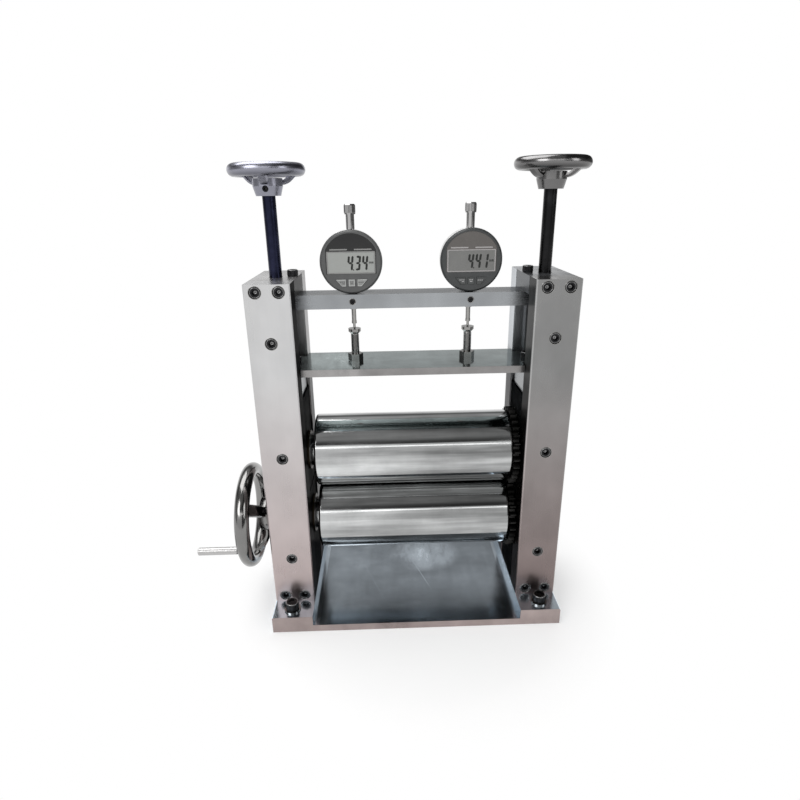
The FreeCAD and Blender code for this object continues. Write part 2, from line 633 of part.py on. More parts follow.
def bushes():
    """Flanged bronze bush in each chock, its flange towards the roll."""
    body = new_body("bush")
    bore, rim = "journal_diameter / 2 + journal_clearance", "bush_radius + bush_flange_rim"
    turned(body, [("-bush_flange_thickness", bore), ("chock_outer - chock_inner", bore),
                  ("chock_outer - chock_inner", "bush_radius"), ("0", "bush_radius"),
                  ("0", rim), ("-bush_flange_thickness", rim)], "H_Axis")
    for name, axis in (("lower", "roll_axis_height"), ("upper", "upper_axis")):
        copies(name + "_roll_bushes", body,
               [("%d * chock_inner" % sign, "0", axis, UPRIGHT if sign > 0 else TURNED)
                for side, sign in SIDES])


def roll(label, axis, left_end):
    """Roll turned from one bar: barrel, shoulders and journals, and what follows on the left."""
    body = new_body(label)
    barrel, shoulder = "roll_diameter / 2", "shoulder_diameter / 2"
    journal = "journal_diameter / 2"
    step = "chock_inner - bush_flange_thickness - side_play"
    end = "chock_outer - journal_short"
    profile = left_end + [("-(%s)" % end, journal), ("-(%s)" % step, journal),
                          ("-(%s)" % step, shoulder), ("-roll_length / 2", shoulder),
                          ("-roll_length / 2", barrel), ("roll_length / 2", barrel),
                          ("roll_length / 2", shoulder), (step, shoulder), (step, journal),
                          (end, journal), (end, "0")]
    turning = turned(body, profile, "H_Axis")
    doc.recompute()
    rims = ["Edge%d" % (k + 1) for k, edge in enumerate(turning.Shape.Edges)
            if isinstance(edge.Curve, Part.Circle)
            and abs(edge.Curve.Radius - size("roll_diameter") / 2) < 1e-6]
    rounding = body.newObject("PartDesign::Fillet", label + "_rounding")
    rounding.Base = (turning, rims)
    bind(rounding, "Radius", "roll_edge_radius")
    place(body, "0", "0", axis)
    return node(body, label)


def rolls():
    shaft, end = "drive_shaft_diameter / 2", "-(chock_outer - journal_short)"
    tip = "-(drive_plane - drive_hub_reach + drive_hub_length - drive_shaft_short)"
    roll("lower_roll", "roll_axis_height", [(tip, "0"), (tip, shaft), (end, shaft)])
    roll("upper_roll", "upper_axis", [(end, "0")])


def involute(angle):
    return math.tan(angle) - angle


def gear_wire():
    """Outline of a roll gear about the origin, with the middle of a tooth on the X axis."""
    teeth = int(size("gear_teeth"))
    pitch_radius = size("roll_diameter") / 2
    pressure = math.radians(size("gear_pressure_angle"))
    base_radius = pitch_radius * math.cos(pressure)
    tip_radius = pitch_radius + size("gear_addendum")
    root_radius = pitch_radius - size("gear_dedendum")
    half_tooth = math.pi / (2 * teeth) - size("gear_backlash") / (2 * pitch_radius)

    def half_angle(radius):
        rolled = math.acos(min(1.0, base_radius / radius))
        return half_tooth + involute(pressure) - involute(rolled)

    def at(radius, angle):
        return Vector(radius * math.cos(angle), radius * math.sin(angle), 0)

    start_radius = max(base_radius, root_radius)
    flank_radii = [start_radius + (tip_radius - start_radius) * k / 3 for k in range(4)]
    edges = []
    for tooth in range(teeth):
        middle = 2 * math.pi * tooth / teeth
        rising = [at(radius, middle - half_angle(radius)) for radius in flank_radii]
        falling = [at(radius, middle + half_angle(radius)) for radius in reversed(flank_radii)]
        foot = half_angle(start_radius)
        root_in, root_out = at(root_radius, middle - foot), at(root_radius, middle + foot)
        next_root = at(root_radius, middle + 2 * math.pi / teeth - foot)
        curve_up, curve_down = Part.BSplineCurve(), Part.BSplineCurve()
        curve_up.interpolate(rising)
        curve_down.interpolate(falling)
        if start_radius > root_radius:
            edges.append(Part.makeLine(root_in, rising[0]))
        edges.append(curve_up.toShape())
        edges.append(Part.Arc(rising[-1], at(tip_radius, middle), falling[0]).toShape())
        edges.append(curve_down.toShape())
        if start_radius > root_radius:
            edges.append(Part.makeLine(falling[-1], root_out))
        valley = at(root_radius, middle + math.pi / teeth)
        edges.append(Part.Arc(root_out, valley, next_root).toShape())
    return Part.Wire(edges)


def roll_gears():
    """The two equal gears that turn the rolls against each other, on the right-hand shoulders.

    A tooth of the lower gear stands in a gap of the upper one on the line between the axes, so
    the upper gear is turned by half a tooth where the count of teeth would set tooth on tooth.
    """
    teeth = int(size("gear_teeth"))
    bore = Part.Wire(Part.makeCircle(size("shoulder_diameter") / 2))
    face = Part.makeFace([gear_wire(), bore], "Part::FaceMakerBullseye")
    upright = Rotation(Vector(0, 1, 0), -90)
    for label, axis, phase in (("lower_roll_gear", "roll_axis_height", 0.0),
                               ("upper_roll_gear", "upper_axis", 180.0 / teeth * (1 + teeth % 2))):
        gear = doc.addObject("Part::Feature", label)
        flat = face.copy()
        flat.rotate(Vector(), Vector(0, 0, 1), phase)
        solid = flat.extrude(Vector(0, 0, -size("gear_face_width")))
        solid.Placement = Placement(Vector(), upright)
        gear.Shape = solid
        place(gear, "roll_length / 2 + gear_roll_gap", "0", axis, upright)
        node(gear, label)


# ---------------------------------------------------------------- carriage of the upper roll

def thrust_block(side, sign):
    """Block on the upper chock that traps the collar of the lead screw."""
    body = new_body(side + "_thrust")
    centre = "%d * column_centre" % sign
    plan = rectangle(centre + " - thrust_block_width / 2", centre + " + thrust_block_width / 2",
                     "-thrust_half", "thrust_half")
    pad(body, outline(new_sketch(body, "XY_Plane", "upper_chock_top"), plan),
        "thrust_block_height")
    holes = new_sketch(body, "XY_Plane")
    circle(holes, centre, "0", "lead_screw_diameter / 2 + lead_hole_clearance")
    for x, y in plate_screw_spots(sign):
        circle(holes, x, y, "plate_screw_diameter / 2 + screw_clearance")
    pocket(body, holes)
    collar = circle(new_sketch(body, "XY_Plane", "upper_chock_top"), centre, "0",
                    "collar_diameter / 2 + collar_clearance")
    pocket(body, collar, "collar_pocket", along_normal=True)
    return node(body, side + "_thrust_block")


def thrust_pads():
    pad_disc = disc("thrust_pad", "collar_diameter / 2", "pad_thickness")
    copies("thrust_pads", pad_disc, [("%d * column_centre" % sign, "0", "upper_chock_top", UPRIGHT)
                                     for side, sign in SIDES])


def gauge_plate():
    """Plate between the columns, with a tongue at each end that lies on the thrust block."""
    body = new_body("gauge_plate")
    long_end, short_end = "column_centre + thrust_block_width / 2", "column_inner - plate_end_gap"
    wide, narrow = "plate_depth / 2", "thrust_half"
    rear = [(long_end, narrow), (short_end, narrow), (short_end, wide)]
    quarter = rear + [("-(%s)" % x, y) for x, y in reversed(rear)]
    plan = quarter + [(x, "-(%s)" % y) for x, y in reversed(quarter)]
    pad(body, outline(new_sketch(body, "XY_Plane", "plate_foot"), plan), "plate_thickness")
    holes = new_sketch(body, "XY_Plane")
    for side, sign in SIDES:
        circle(holes, "%d * column_centre" % sign, "0",
               "lead_screw_diameter / 2 + lead_hole_clearance")
        circle(holes, "%d * gauge_x" % sign, "gauge_setback", "anvil_diameter / 2")
        for x, y in plate_screw_spots(sign):
            circle(holes, x, y, "plate_screw_diameter / 2 + screw_clearance")
    pocket(body, holes)
    return node(body, "gauge_plate")


def plate_screws():
    screw = cap_screw("plate_screw", "plate_screw",
                      "plate_thickness + thrust_block_height + plate_screw_grip")
    spots = [(x, y, "plate_top", UPRIGHT) for side, sign in SIDES
             for x, y in plate_screw_spots(sign)]
    copies("gauge_plate_screws", screw, spots)


def anvils():
    """Upright screw under each gauge, with a flat head for the spindle, and its lock nut."""
    shank, head = "anvil_diameter / 2", "anvil_head_diameter / 2"
    rim = "anvil_height - anvil_head_height"
    nut = new_body("anvil_nut")
    pad(nut, outline(new_sketch(nut, "XY_Plane"), hexagon("anvil_nut_flats")), "anvil_nut_height")
    pocket(nut, circle(new_sketch(nut, "XY_Plane"), "0", "0", shank))
    for side, sign in SIDES:
        body = new_body(side + "_anvil")
        turned(body, [("0", "-plate_thickness"), (shank, "-plate_thickness"),
                      (shank, rim + " - anvil_cone_height"), (head, rim),
                      (head, "anvil_height"), ("0", "anvil_height")], "V_Axis")
        place(body, "%d * gauge_x" % sign, "gauge_setback", "plate_top")
        node(body, side + "_gauge_anvil")
    copies("anvil_lock_nuts", nut,
           [("%d * gauge_x" % sign, "gauge_setback", "plate_top", UPRIGHT) for side, sign in SIDES])


def lead_screw(side, sign, extra):
    """Lead screw from the thrust pad up to its wheel, with a collar at its foot."""
    body = new_body(side + "_lead")
    top = "lift_hub_foot + %s + lift_hub_length - lead_foot" % extra
    turned(body, [("0", "0"), ("collar_diameter / 2", "0"), ("collar_diameter / 2", "collar_height"),
                  ("lead_screw_diameter / 2", "collar_height"), ("lead_screw_diameter / 2", top),
                  ("0", top)], "V_Axis")
    place(body, "%d * column_centre" % sign, "0", "lead_foot")
    return node(body, side + "_lead_screw")


# ---------------------------------------------------------------- handwheels

def handwheel(name, kind, bore):
    """Dished handwheel: rim round the origin, hub below it, three bent spokes, the first one on X."""
    body = new_body(name)
    rim = kind + "_rim_radius"
    foot = "-%s_hub_reach" % kind
    top = "%s + %s_hub_length" % (foot, kind)
    turned(body, [("0", foot), (kind + "_hub_diameter / 2", foot),
                  (kind + "_hub_top_diameter / 2", "%s + %s_hub_length * 0.55" % (foot, kind)),
                  (kind + "_hub_top_diameter / 2", top), ("0", top)], "V_Axis")
    thick, wide = kind + "_spoke_thickness", kind + "_spoke_width"
    root_level = "(%s - %s / 2)" % (top, thick)
    bends = ((bore + " / 2 + 1", root_level, "0.9", "1"),
             (rim + " * dish_shoulder", root_level + " * 0.92", "0.94", "1.05"),
             (rim + " * dish_knee", root_level + " * 0.42", "0.97", "1.3"),
             (rim, "0", "1", "1"))
    sections = []
    for reach, level, share, deep in bends:
        half, rise = "%s / 2 * %s" % (wide, share), "%s / 2 * %s" % (thick, deep)
        sketch = new_sketch(body, "YZ_Plane", reach)
        corner = thick + " / 4"
        sections.append(outline(sketch, [
            ("%s - (%s)" % (corner, half), "%s - %s" % (level, rise)),
            ("(%s) - %s" % (half, corner), "%s - %s" % (level, rise)),
            (half, level),
            ("(%s) - %s" % (half, corner), "%s + %s" % (level, rise)),
            ("%s - (%s)" % (corner, half), "%s + %s" % (level, rise)),
            ("-(%s)" % half, level)]))
    spoke = body.newObject("PartDesign::AdditiveLoft", name + "_spoke")
    spoke.Profile, spoke.Sections = sections[0], sections[1:]
    spokes = body.newObject("PartDesign::PolarPattern", name + "_spokes")
    spokes.Originals = [spoke]
    spokes.Axis = ([item for item in body.Origin.OriginFeatures if item.Role == "Z_Axis"][0], [""])
    spokes.Angle = 360
    spokes.Occurrences = 3
    body.Tip = spokes
    ring = circle(new_sketch(body, "XZ_Plane"), rim, "0", kind + "_rim_thickness / 2")
    tyre = body.newObject("PartDesign::Revolution", name + "_rim")
    tyre.Profile = ring
    tyre.ReferenceAxis = (ring, ["V_Axis"])
    pocket(body, circle(new_sketch(body, "XY_Plane"), "0", "0", bore + " / 2"))
    hole = circle(new_sketch(body, "YZ_Plane"), "0", "%s + %s_hub_length * 0.4" % (foot, kind),
                  kind + "_set_screw / 2")
    pocket(body, hole, kind + "_hub_diameter", along_normal=True)
    return body


def lift_wheels():
    """Small wheel on each lead screw: the left one's set screw to the front, the right one's to the rear."""
    for side, sign, extra in (("left", -1, "0"), ("right", 1, "lift_right_extra")):
        body = handwheel(side + "_lift_wheel", "lift", "lead_screw_diameter")
        place(body, "%d * column_centre" % sign, "0",
              "lift_hub_foot + %s + lift_hub_reach" % extra, Rotation(Vector(0, 0, 1), 90 * sign))
        node(body, side + "_adjusting_wheel")
        lead_screw(side, sign, extra)


def drive_wheel():
    """Wheel on the lower roll's shaft, its hub beside the column, and the rod that turns it."""
    body = handwheel("drive_wheel_body", "drive", "drive_shaft_diameter")
    between = "(spoke_angle + crank_angle) * 1 deg"
    thread = circle(new_sketch(body, "XY_Plane", "crank_foot"),
                    "drive_rim_radius * cos(%s)" % between,
                    "-drive_rim_radius * sin(%s)" % between, "crank_stud_diameter / 2")
    pocket(body, thread, "crank_stud_length")
    outward = Rotation(Vector(0, 1, 0), -90)
    first_spoke = Rotation(Vector(0, 0, 1), size("spoke_angle") - 90)
    place(body, "-drive_plane", "0", "roll_axis_height", outward.multiply(first_spoke))
    node(body, "drive_wheel")
    handle = new_body("crank_rod")
    edge, stud, tip = "crank_diameter / 2", "crank_stud_diameter / 2", "crank_foot - crank_stud_length"
    turned(handle, [("0", tip), (stud, tip), (stud, "crank_foot"), (edge, "crank_foot"),
                    (edge, "crank_length - crank_chamfer"),
                    (edge + " - crank_chamfer", "crank_length"), ("0", "crank_length")], "V_Axis")
    place(handle, "-drive_plane", "-drive_rim_radius * cos(crank_angle * 1 deg)",
          "roll_axis_height - drive_rim_radius * sin(crank_angle * 1 deg)", outward)
    node(handle, "crank_handle")


# ---------------------------------------------------------------- gauges and their crossbar

def crossbar():
    """Bar under the two top blocks that carries the gauges by their stems."""
    body = new_body("crossbar")
    end = "end_screw_x + crossbar_end_margin"
    plan = rectangle("-(%s)" % end, end, "gauge_setback - crossbar_depth / 2",
                     "gauge_setback + crossbar_depth / 2")
    pad(body, outline(new_sketch(body, "XY_Plane", "crossbar_foot"), plan), "crossbar_height")
    stems = new_sketch(body, "XY_Plane")
    threads = new_sketch(body, "XY_Plane", "top_block_foot")
    clamps = new_sketch(body, "XZ_Plane", "-gauge_setback")
    for side, sign in SIDES:
        circle(stems, "%d * gauge_x" % sign, "gauge_setback", "stem_diameter / 2 + stem_clearance")
        circle(threads, "%d * end_screw_x" % sign, "gauge_setback", "screw_diameter / 2")
        circle(clamps, "%d * gauge_x" % sign, "crossbar_foot + crossbar_height / 2",
               "clamp_screw_diameter / 2")
    pocket(body, stems)
    pocket(body, threads, "end_screw_grip")
    pocket(body, clamps, "crossbar_depth", along_normal=True)
    return node(body, "gauge_crossbar")


def crossbar_screws():
    """Screw down through each top block into the crossbar, and the clamp screws of the stems."""
    end = cap_screw("end_screw", "screw", "top_block_height + end_screw_grip")
    copies("crossbar_end_screws", end,
           [("%d * end_screw_x" % sign, "gauge_setback", "column_top", UPRIGHT)
            for side, sign in SIDES])
    clamp = new_body("clamp_screw")
    length = "crossbar_depth / 2 - clamp_screw_recess - stem_diameter / 2 - stem_clearance"
    pad(clamp, circle(new_sketch(clamp, "XY_Plane"), "0", "0", "clamp_screw_diameter / 2"), length)
    socket = outline(new_sketch(clamp, "XY_Plane", length), hexagon("clamp_screw_socket"))
    pocket(clamp, socket, "clamp_screw_socket")
    copies("stem_clamp_screws", clamp,
           [("%d * gauge_x" % sign, "gauge_setback - stem_diameter / 2 - stem_clearance",
             "crossbar_foot + crossbar_height / 2", FACING_FRONT) for side, sign in SIDES])


def gauge_case():
    """Round metal case about the dial's axis, bored from below and above along the stem."""
    body = new_body("gauge_case")
    front = "dial_thickness - dial_front"
    rear = front + " + case_depth"
    turned(body, [("0", front), ("case_radius", front), ("case_radius", rear + " - case_chamfer"),
                  ("case_radius - case_chamfer", rear), ("0", rear)], "V_Axis", "XY_Plane")
    seat = "stem_seat - case_radius"
    bottom = new_sketch(body, "XY_Plane", "-case_radius")
    pocket(body, circle(bottom, "0", "0", "stem_diameter / 2"), "stem_seat", along_normal=True)
    bore = circle(new_sketch(body, "XY_Plane", seat), "0", "0",
                  "spindle_diameter / 2 + spindle_clearance")
    pocket(body, bore, "spindle_bore_depth", along_normal=True)
    top = new_sketch(body, "XY_Plane", "case_radius")
    pocket(body, circle(top, "0", "0", "stem_diameter / 2"), "tube_seat")
    return body


def face_plate(name, corners, front, depth):
    """Plate of a given outline in the plane of the dial, its front at a distance ahead of it."""
    body = new_body(name)
    sketch = outline(new_sketch(body, "XZ_Plane", front + " - (%s)" % depth), corners)
    pad(body, sketch, depth)
    return body


def button_corners(which, gap):
    """Outline of one of the three buttons, widened by a gap for its well."""
    top, foot = "%s - button_top" % gap, "-button_top - button_height - %s" % gap
    if which == "middle":
        half = "(middle_button_width / 2 + %s)" % gap
        return rectangle("-" + half, half, foot, top)
    sign = -1 if which == "left" else 1
    return [("%d * (button_inner - %s)" % (sign, gap), top),
            ("%d * (button_outer + 2 * %s)" % (sign, gap), top),
            ("%d * (button_slant + 2 * %s)" % (sign, gap), foot),
            ("%d * (button_inner - %s)" % (sign, gap), foot)]


def window_pane(name, gap, depth):
    """Window outline: a round top between straight sides, as a plate of a given depth."""
    ring = disc(name + "_round", "window_radius + " + gap, depth, y="-dial_front",
                turn=FACING_REAR)
    frame = block(name + "_frame", ("-window_width / 2 - " + gap, "window_width / 2 + " + gap),
                  ("-dial_front", "%s - dial_front" % depth),
                  ("-window_drop - " + gap, "window_radius + 1"))
    pane = doc.addObject("Part::Common", name)
    pane.Base, pane.Tool = ring, frame
    return pane


def gauge_face():
    """Dark ring and face of a gauge, with a seat for the window and a well for each button."""
    ring = new_body("face_ring")
    front, rear = "-dial_front", "dial_thickness - dial_front"
    turned(ring, [("0", front), ("dial_diameter / 2 - dial_chamfer", front),
                  ("dial_diameter / 2", "dial_chamfer - dial_front"), ("dial_diameter / 2", rear),
                  ("0", rear)], "V_Axis", "XY_Plane")
    hollows = [window_pane("window_seat", "window_gap", "window_recess")]
    hollows += [face_plate(which + "_well", button_corners(which, "button_gap"),
                           "dial_front", "button_well") for which in ("left", "middle", "right")]
    tools = doc.addObject("Part::MultiFuse", "face_hollows")
    tools.Shapes = hollows
    face = doc.addObject("Part::Cut", "face")
    face.Base, face.Tool = ring, tools
    return face


def gauge_stem():
    """Stem from inside the case down through the crossbar, bored for the spindle."""
    body = new_body("gauge_stem")
    bore, outside = "spindle_diameter / 2 + spindle_clearance", "stem_diameter / 2"
    turned(body, rectangle(bore, outside, "stem_foot", "stem_seat - case_radius"), "V_Axis")
    return body


def gauge_cap():
    """Upper tube of the case with the cap on its end."""
    body = new_body("gauge_cap")
    tube, cap, foot = "stem_diameter / 2", "cap_diameter / 2", "case_radius + tube_length"
    top = foot + " + cap_height"
    turned(body, [("0", "case_radius - tube_seat"), (tube, "case_radius - tube_seat"), (tube, foot),
                  (cap, foot), (cap, top + " - cap_chamfer"), (cap + " - cap_chamfer", top),
                  ("0", top)], "V_Axis")
    return body


def gauge_spindle():
    """Spindle with its contact point, measured up from the point."""
    body = new_body("gauge_spindle")
    point, collar, rod = "contact_diameter / 2", "spindle_collar_diameter / 2", "spindle_diameter / 2"
    shoulder = "contact_length + spindle_collar_height"
    top = "dial_height - case_radius + stem_seat + spindle_inside - (spindle_foot)"
    turned(body, [("0", "0"), (point + " * 0.5", "0"), (point, point + " * 0.6"),
                  (point, "contact_length"), (collar, "contact_length"), (collar, shoulder),
                  (rod, shoulder), (rod, top), ("0", top)], "V_Axis")
    return body


def gauges():
    """Everything of both gauges. A gauge's own frame is its stem's axis at the dial's height."""
    pane = window_pane("pane", "0", "window_thickness")
    pieces = [("case", gauge_case()), ("face", gauge_face()), ("stem", gauge_stem()),
              ("cap", gauge_cap()), ("window", pane)]
    sink = "window_recess - window_thickness"
    for which in ("left", "middle", "right"):
        front = "dial_front + button_stand"
        pieces.append((which + "_button",
                       face_plate(which + "_button", button_corners(which, "0"), front,
                                  "button_stand + button_depth")))
    spindle = gauge_spindle()
    for side, sign in SIDES:
        centre = "%d * gauge_x" % sign
        for name, piece in pieces:
            setback = "gauge_setback + " + sink if name == "window" else "gauge_setback"
            copies("%s_gauge_%s" % (side, name), piece, [(centre, setback, "dial_height", UPRIGHT)])
        copies(side + "_gauge_spindle", spindle,
               [(centre, "gauge_setback", "spindle_foot", UPRIGHT)])


# ---------------------------------------------------------------- assembly, checks and files

def check():
    """Stops if any object failed, any piece is empty or broken, or any cut took nothing away."""
    for thing in doc.Objects:
        if "Invalid" in thing.State or "Error" in thing.State:
            raise ValueError("%s is not up to date: %s" % (thing.Label, thing.State))
        if thing.TypeId == "PartDesign::Pocket":
            if thing.Shape.Volume >= thing.BaseFeature.Shape.Volume - 1e-6:
                raise ValueError("%s cuts nothing" % thing.Name)
    for piece in nodes:
        if piece.Shape.isNull() or not piece.Shape.isValid() or not piece.Shape.Solids:
            raise ValueError("%s has no sound shape" % piece.Label)


def build():
    fill_sheet()
    base_plate()
    for side, sign in SIDES:
        for row, depth in ROWS:
            column_bar(side, sign, row, depth)
        top_block(side, sign)
        lower_chock(side, sign)
        upper_chock(side, sign)
        thrust_block(side, sign)
    guide_rails()
    screw_nuts()
    column_screws()
    foot_bolts()
    base_screws()
    bushes()
    rolls()
    roll_gears()
    thrust_pads()
    gauge_plate()
    plate_screws()
    anvils()
    lift_wheels()
    drive_wheel()
    crossbar()
    crossbar_screws()
    gauges()
    doc.recompute()
    check()


def write_parts():
    os.makedirs("parts", exist_ok=True)
    for piece in nodes:
        piece.Shape.exportStep(os.path.join("parts", piece.Label + ".step"))


build()
write_parts()
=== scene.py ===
"""Looks of the jewellers rolling mill: materials, display panels and small parts around the CAD frame."""
import json
import math

import bmesh
import bpy
from mathutils import Matrix, Vector


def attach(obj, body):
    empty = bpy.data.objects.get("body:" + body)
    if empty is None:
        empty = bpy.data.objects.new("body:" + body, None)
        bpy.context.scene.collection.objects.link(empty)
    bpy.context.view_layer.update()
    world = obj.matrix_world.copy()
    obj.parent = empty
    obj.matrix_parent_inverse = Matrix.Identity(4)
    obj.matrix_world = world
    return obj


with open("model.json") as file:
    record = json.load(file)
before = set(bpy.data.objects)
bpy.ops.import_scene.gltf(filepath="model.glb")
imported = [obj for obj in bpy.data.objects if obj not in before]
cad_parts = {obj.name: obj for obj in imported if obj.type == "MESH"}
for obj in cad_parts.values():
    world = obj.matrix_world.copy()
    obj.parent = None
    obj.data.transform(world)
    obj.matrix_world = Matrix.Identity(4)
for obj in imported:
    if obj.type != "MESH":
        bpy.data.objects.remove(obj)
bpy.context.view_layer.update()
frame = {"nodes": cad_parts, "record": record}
nodes = frame["nodes"]
MM = 0.001

# ---------------------------------------------------------------- view settings, camera

scene = bpy.context.scene
scene.view_settings.view_transform = "Standard"

IMAGE = 800                  # pixels across the picture
SENSOR = 36.0                # millimetres across the sensor
FOCAL_PIXELS = 554.7
NEAREST, FURTHEST = 0.01, 50
CAMERA_PLACE = Vector((-25.7, -537.4, 420.9)) * MM
YAW, PITCH, ROLL = (math.radians(angle) for angle in (1.423, 20.039, -0.868))


def camera_matrix():
    """The camera's place and turn, from its yaw, downward pitch and roll."""
    forward = Vector((math.sin(YAW) * math.cos(PITCH), math.cos(YAW) * math.cos(PITCH), -math.sin(PITCH)))
    level = Vector((math.cos(YAW), -math.sin(YAW), 0))
    up = level.cross(forward)
    right = math.cos(ROLL) * level + math.sin(ROLL) * up
    up = math.cos(ROLL) * up - math.sin(ROLL) * level
    turn = Matrix((right, up, -forward)).transposed().to_4x4()
    return Matrix.Translation(CAMERA_PLACE) @ turn


def add_camera():
    data = bpy.data.cameras.new("photo_camera")
    data.sensor_width = SENSOR
    data.lens = SENSOR * FOCAL_PIXELS / IMAGE
    data.clip_start = NEAREST
    data.clip_end = FURTHEST
    camera = bpy.data.objects.new("photo_camera", data)
    scene.collection.objects.link(camera)
    camera.matrix_world = camera_matrix()
    scene.camera = camera


add_camera()

# ---------------------------------------------------------------- node trees

WHITE = (1, 1, 1, 1)


def grey(level, tint=(1, 1, 1)):
    return (level * tint[0], level * tint[1], level * tint[2], 1)


class Nodes:
    """Short calls to build a node tree. A value is a number, a colour or another node's socket."""

    def __init__(self, tree):
        self.tree = tree
        tree.nodes.clear()

    def add(self, kind, **settings):
        made = self.tree.nodes.new(kind)
        for name, value in settings.items():
            setattr(made, name, value)
        return made

    def link(self, start, end):
        self.tree.links.new(start, end)

    def feed(self, socket, value):
        """Gives a socket a fixed value, or links another node's socket to it."""
        if isinstance(value, bpy.types.NodeSocket):
            self.link(value, socket)
        else:
            socket.default_value = value

    def set(self, made, **values):
        """Feeds sockets by name, with _ for a space."""
        for name, value in values.items():
            self.feed(made.inputs[name.replace("_", " ")], value)
        return made

    def maths(self, operation, first, second=None, clamp=False):
        made = self.add("ShaderNodeMath", operation=operation, use_clamp=clamp)
        for socket, value in zip(made.inputs, (first, second)):
            if value is not None:
                self.feed(socket, value)
        return made.outputs[0]

    def times(self, first, *others):
        """The product of its values."""
        for other in others:
            first = self.maths("MULTIPLY", first, other)
        return first

    def plus(self, first, *others):
        """The sum of its values."""
        for other in others:
            first = self.maths("ADD", first, other)
        return first

    def size(self, value):
        """A value without its sign."""
        return self.maths("ABSOLUTE", value)

    def spread(self, value, low, high, to_low, to_high):
        """Maps a value from one range to another, held at both ends."""
        made = self.add("ShaderNodeMapRange")
        self.set(made, Value=value, From_Min=low, From_Max=high, To_Min=to_low, To_Max=to_high)
        return made.outputs["Result"]

    def blend(self, value, low, high, first, second):
        """A tint that turns from the first into the second while a value grows from low to high."""
        return tuple(self.spread(value, low, high, *parts) for parts in zip(first, second))

    def ramp(self, value, stops):
        """A level that follows pairs of place and level."""
        made = self.add("ShaderNodeValToRGB")
        self.link(value, made.inputs["Fac"])
        elements = made.color_ramp.elements
        elements[0].position, elements[1].position = stops[0][0], stops[-1][0]
        elements[0].color, elements[1].color = grey(stops[0][1]), grey(stops[-1][1])
        for spot, level in stops[1:-1]:
            elements.new(spot).color = grey(level)
        return made.outputs["Color"]

    def mix(self, share, first, second):
        """A colour between two colours."""
        made = self.add("ShaderNodeMix", data_type="RGBA")
        for name, value in (("Factor_Float", share), ("A_Color", first), ("B_Color", second)):
            self.feed(next(socket for socket in made.inputs if socket.identifier == name), value)
        return next(socket for socket in made.outputs if socket.identifier == "Result_Color")

    def noise(self, place, stretch, detail=2.0, roughness=0.5, turn=(0, 0, 0)):
        """Noise whose grain is stretched; stretch holds its cycles per metre along each axis."""
        mapping = self.add("ShaderNodeMapping")
        self.set(mapping, Vector=place, Scale=stretch, Rotation=turn)
        made = self.add("ShaderNodeTexNoise")
        self.set(made, Vector=mapping.outputs["Vector"], Scale=1.0, Detail=detail, Roughness=roughness)
        return made.outputs["Fac"]

    def split(self, vector):
        """The x, y and z of a vector."""
        made = self.add("ShaderNodeSeparateXYZ")
        self.link(vector, made.inputs["Vector"])
        return made.outputs["X"], made.outputs["Y"], made.outputs["Z"]

    def direct_rays(self):
        """1 for camera rays, and 1 for those and for rays off metal or through glass."""
        path = self.add("ShaderNodeLightPath")
        camera = path.outputs["Is Camera Ray"]
        direct = self.maths("MAXIMUM", camera, path.outputs["Is Glossy Ray"])
        return camera, self.maths("MAXIMUM", direct, path.outputs["Is Transmission Ray"])

    def white_light(self, kind, strength):
        return self.set(self.add(kind), Color=WHITE, Strength=strength).outputs[0]

    def merged(self, kind, *values):
        """A shader that adds two others, or mixes them after a share."""
        made = self.add(kind)
        for socket, value in zip(made.inputs, values):
            self.link(value, socket)
        return made.outputs[0]

    def output(self, kind, shader):
        self.link(shader, self.add(kind).inputs["Surface"])


# ---------------------------------------------------------------- world, lamps, floor

# What metal reflects of the sky in front and behind: pairs of height, from 0 at the horizon to 1 overhead,
# and level.
FRONT_SKY = ((0.0, 0.80), (0.25, 0.78), (0.42, 0.90), (0.55, 0.95), (0.585, 0.07), (0.68, 0.10), (0.80, 0.28),
             (0.90, 0.26), (1.0, 0.22))
REAR_SKY = ((0.0, 1.0), (0.15, 1.0), (0.28, 0.44), (0.36, 0.16), (0.50, 0.16), (0.60, 0.36), (0.70, 0.40),
            (0.79, 0.28), (0.85, 0.28), (0.89, 0.06), (0.96, 0.06), (1.0, 0.22))
SKY_SEAM = 0.15   # the front sky turns into the rear one this far to both sides of the seam
# Dark flags at both sides: pairs of place, from 0 at the far left to 1 at the far right, and what they leave
# of the sky.
FLAGS = ((0.0, 0.30), (0.06, 0.30), (0.11, 1.0), (0.65, 1.0), (0.68, 0.10), (1.0, 0.10))
AMBIENT = 0.52                         # level of the sky's light on everything that doesn't mirror it
FLOOR_HALF, FLOOR_DROP = 6.0, 0.0002
FLOOR_GREY, FLOOR_GLOW = 0.60, 0.40    # what the floor sends back of its light, and what is added to that
FLOOR_NEAR, FLOOR_FAR = 0.165, 0.225   # between these distances from the mill's middle it turns white
LAMP_AIM = (0, 0, 0.2)
LAMPS = (   # name, place, width, height, watts
    ("key_softbox", (-1.1, -1.2, 1.25), 0.9, 0.9, 10),
    ("fill_softbox", (1.4, -0.9, 0.9), 0.6, 0.9, 4),
    ("front_strip", (0.1, -1.6, 1.02), 2.2, 0.12, 1.4),
    ("rear_softbox", (-0.5, 0.45, 1.8), 1.5, 1.5, 20),
)


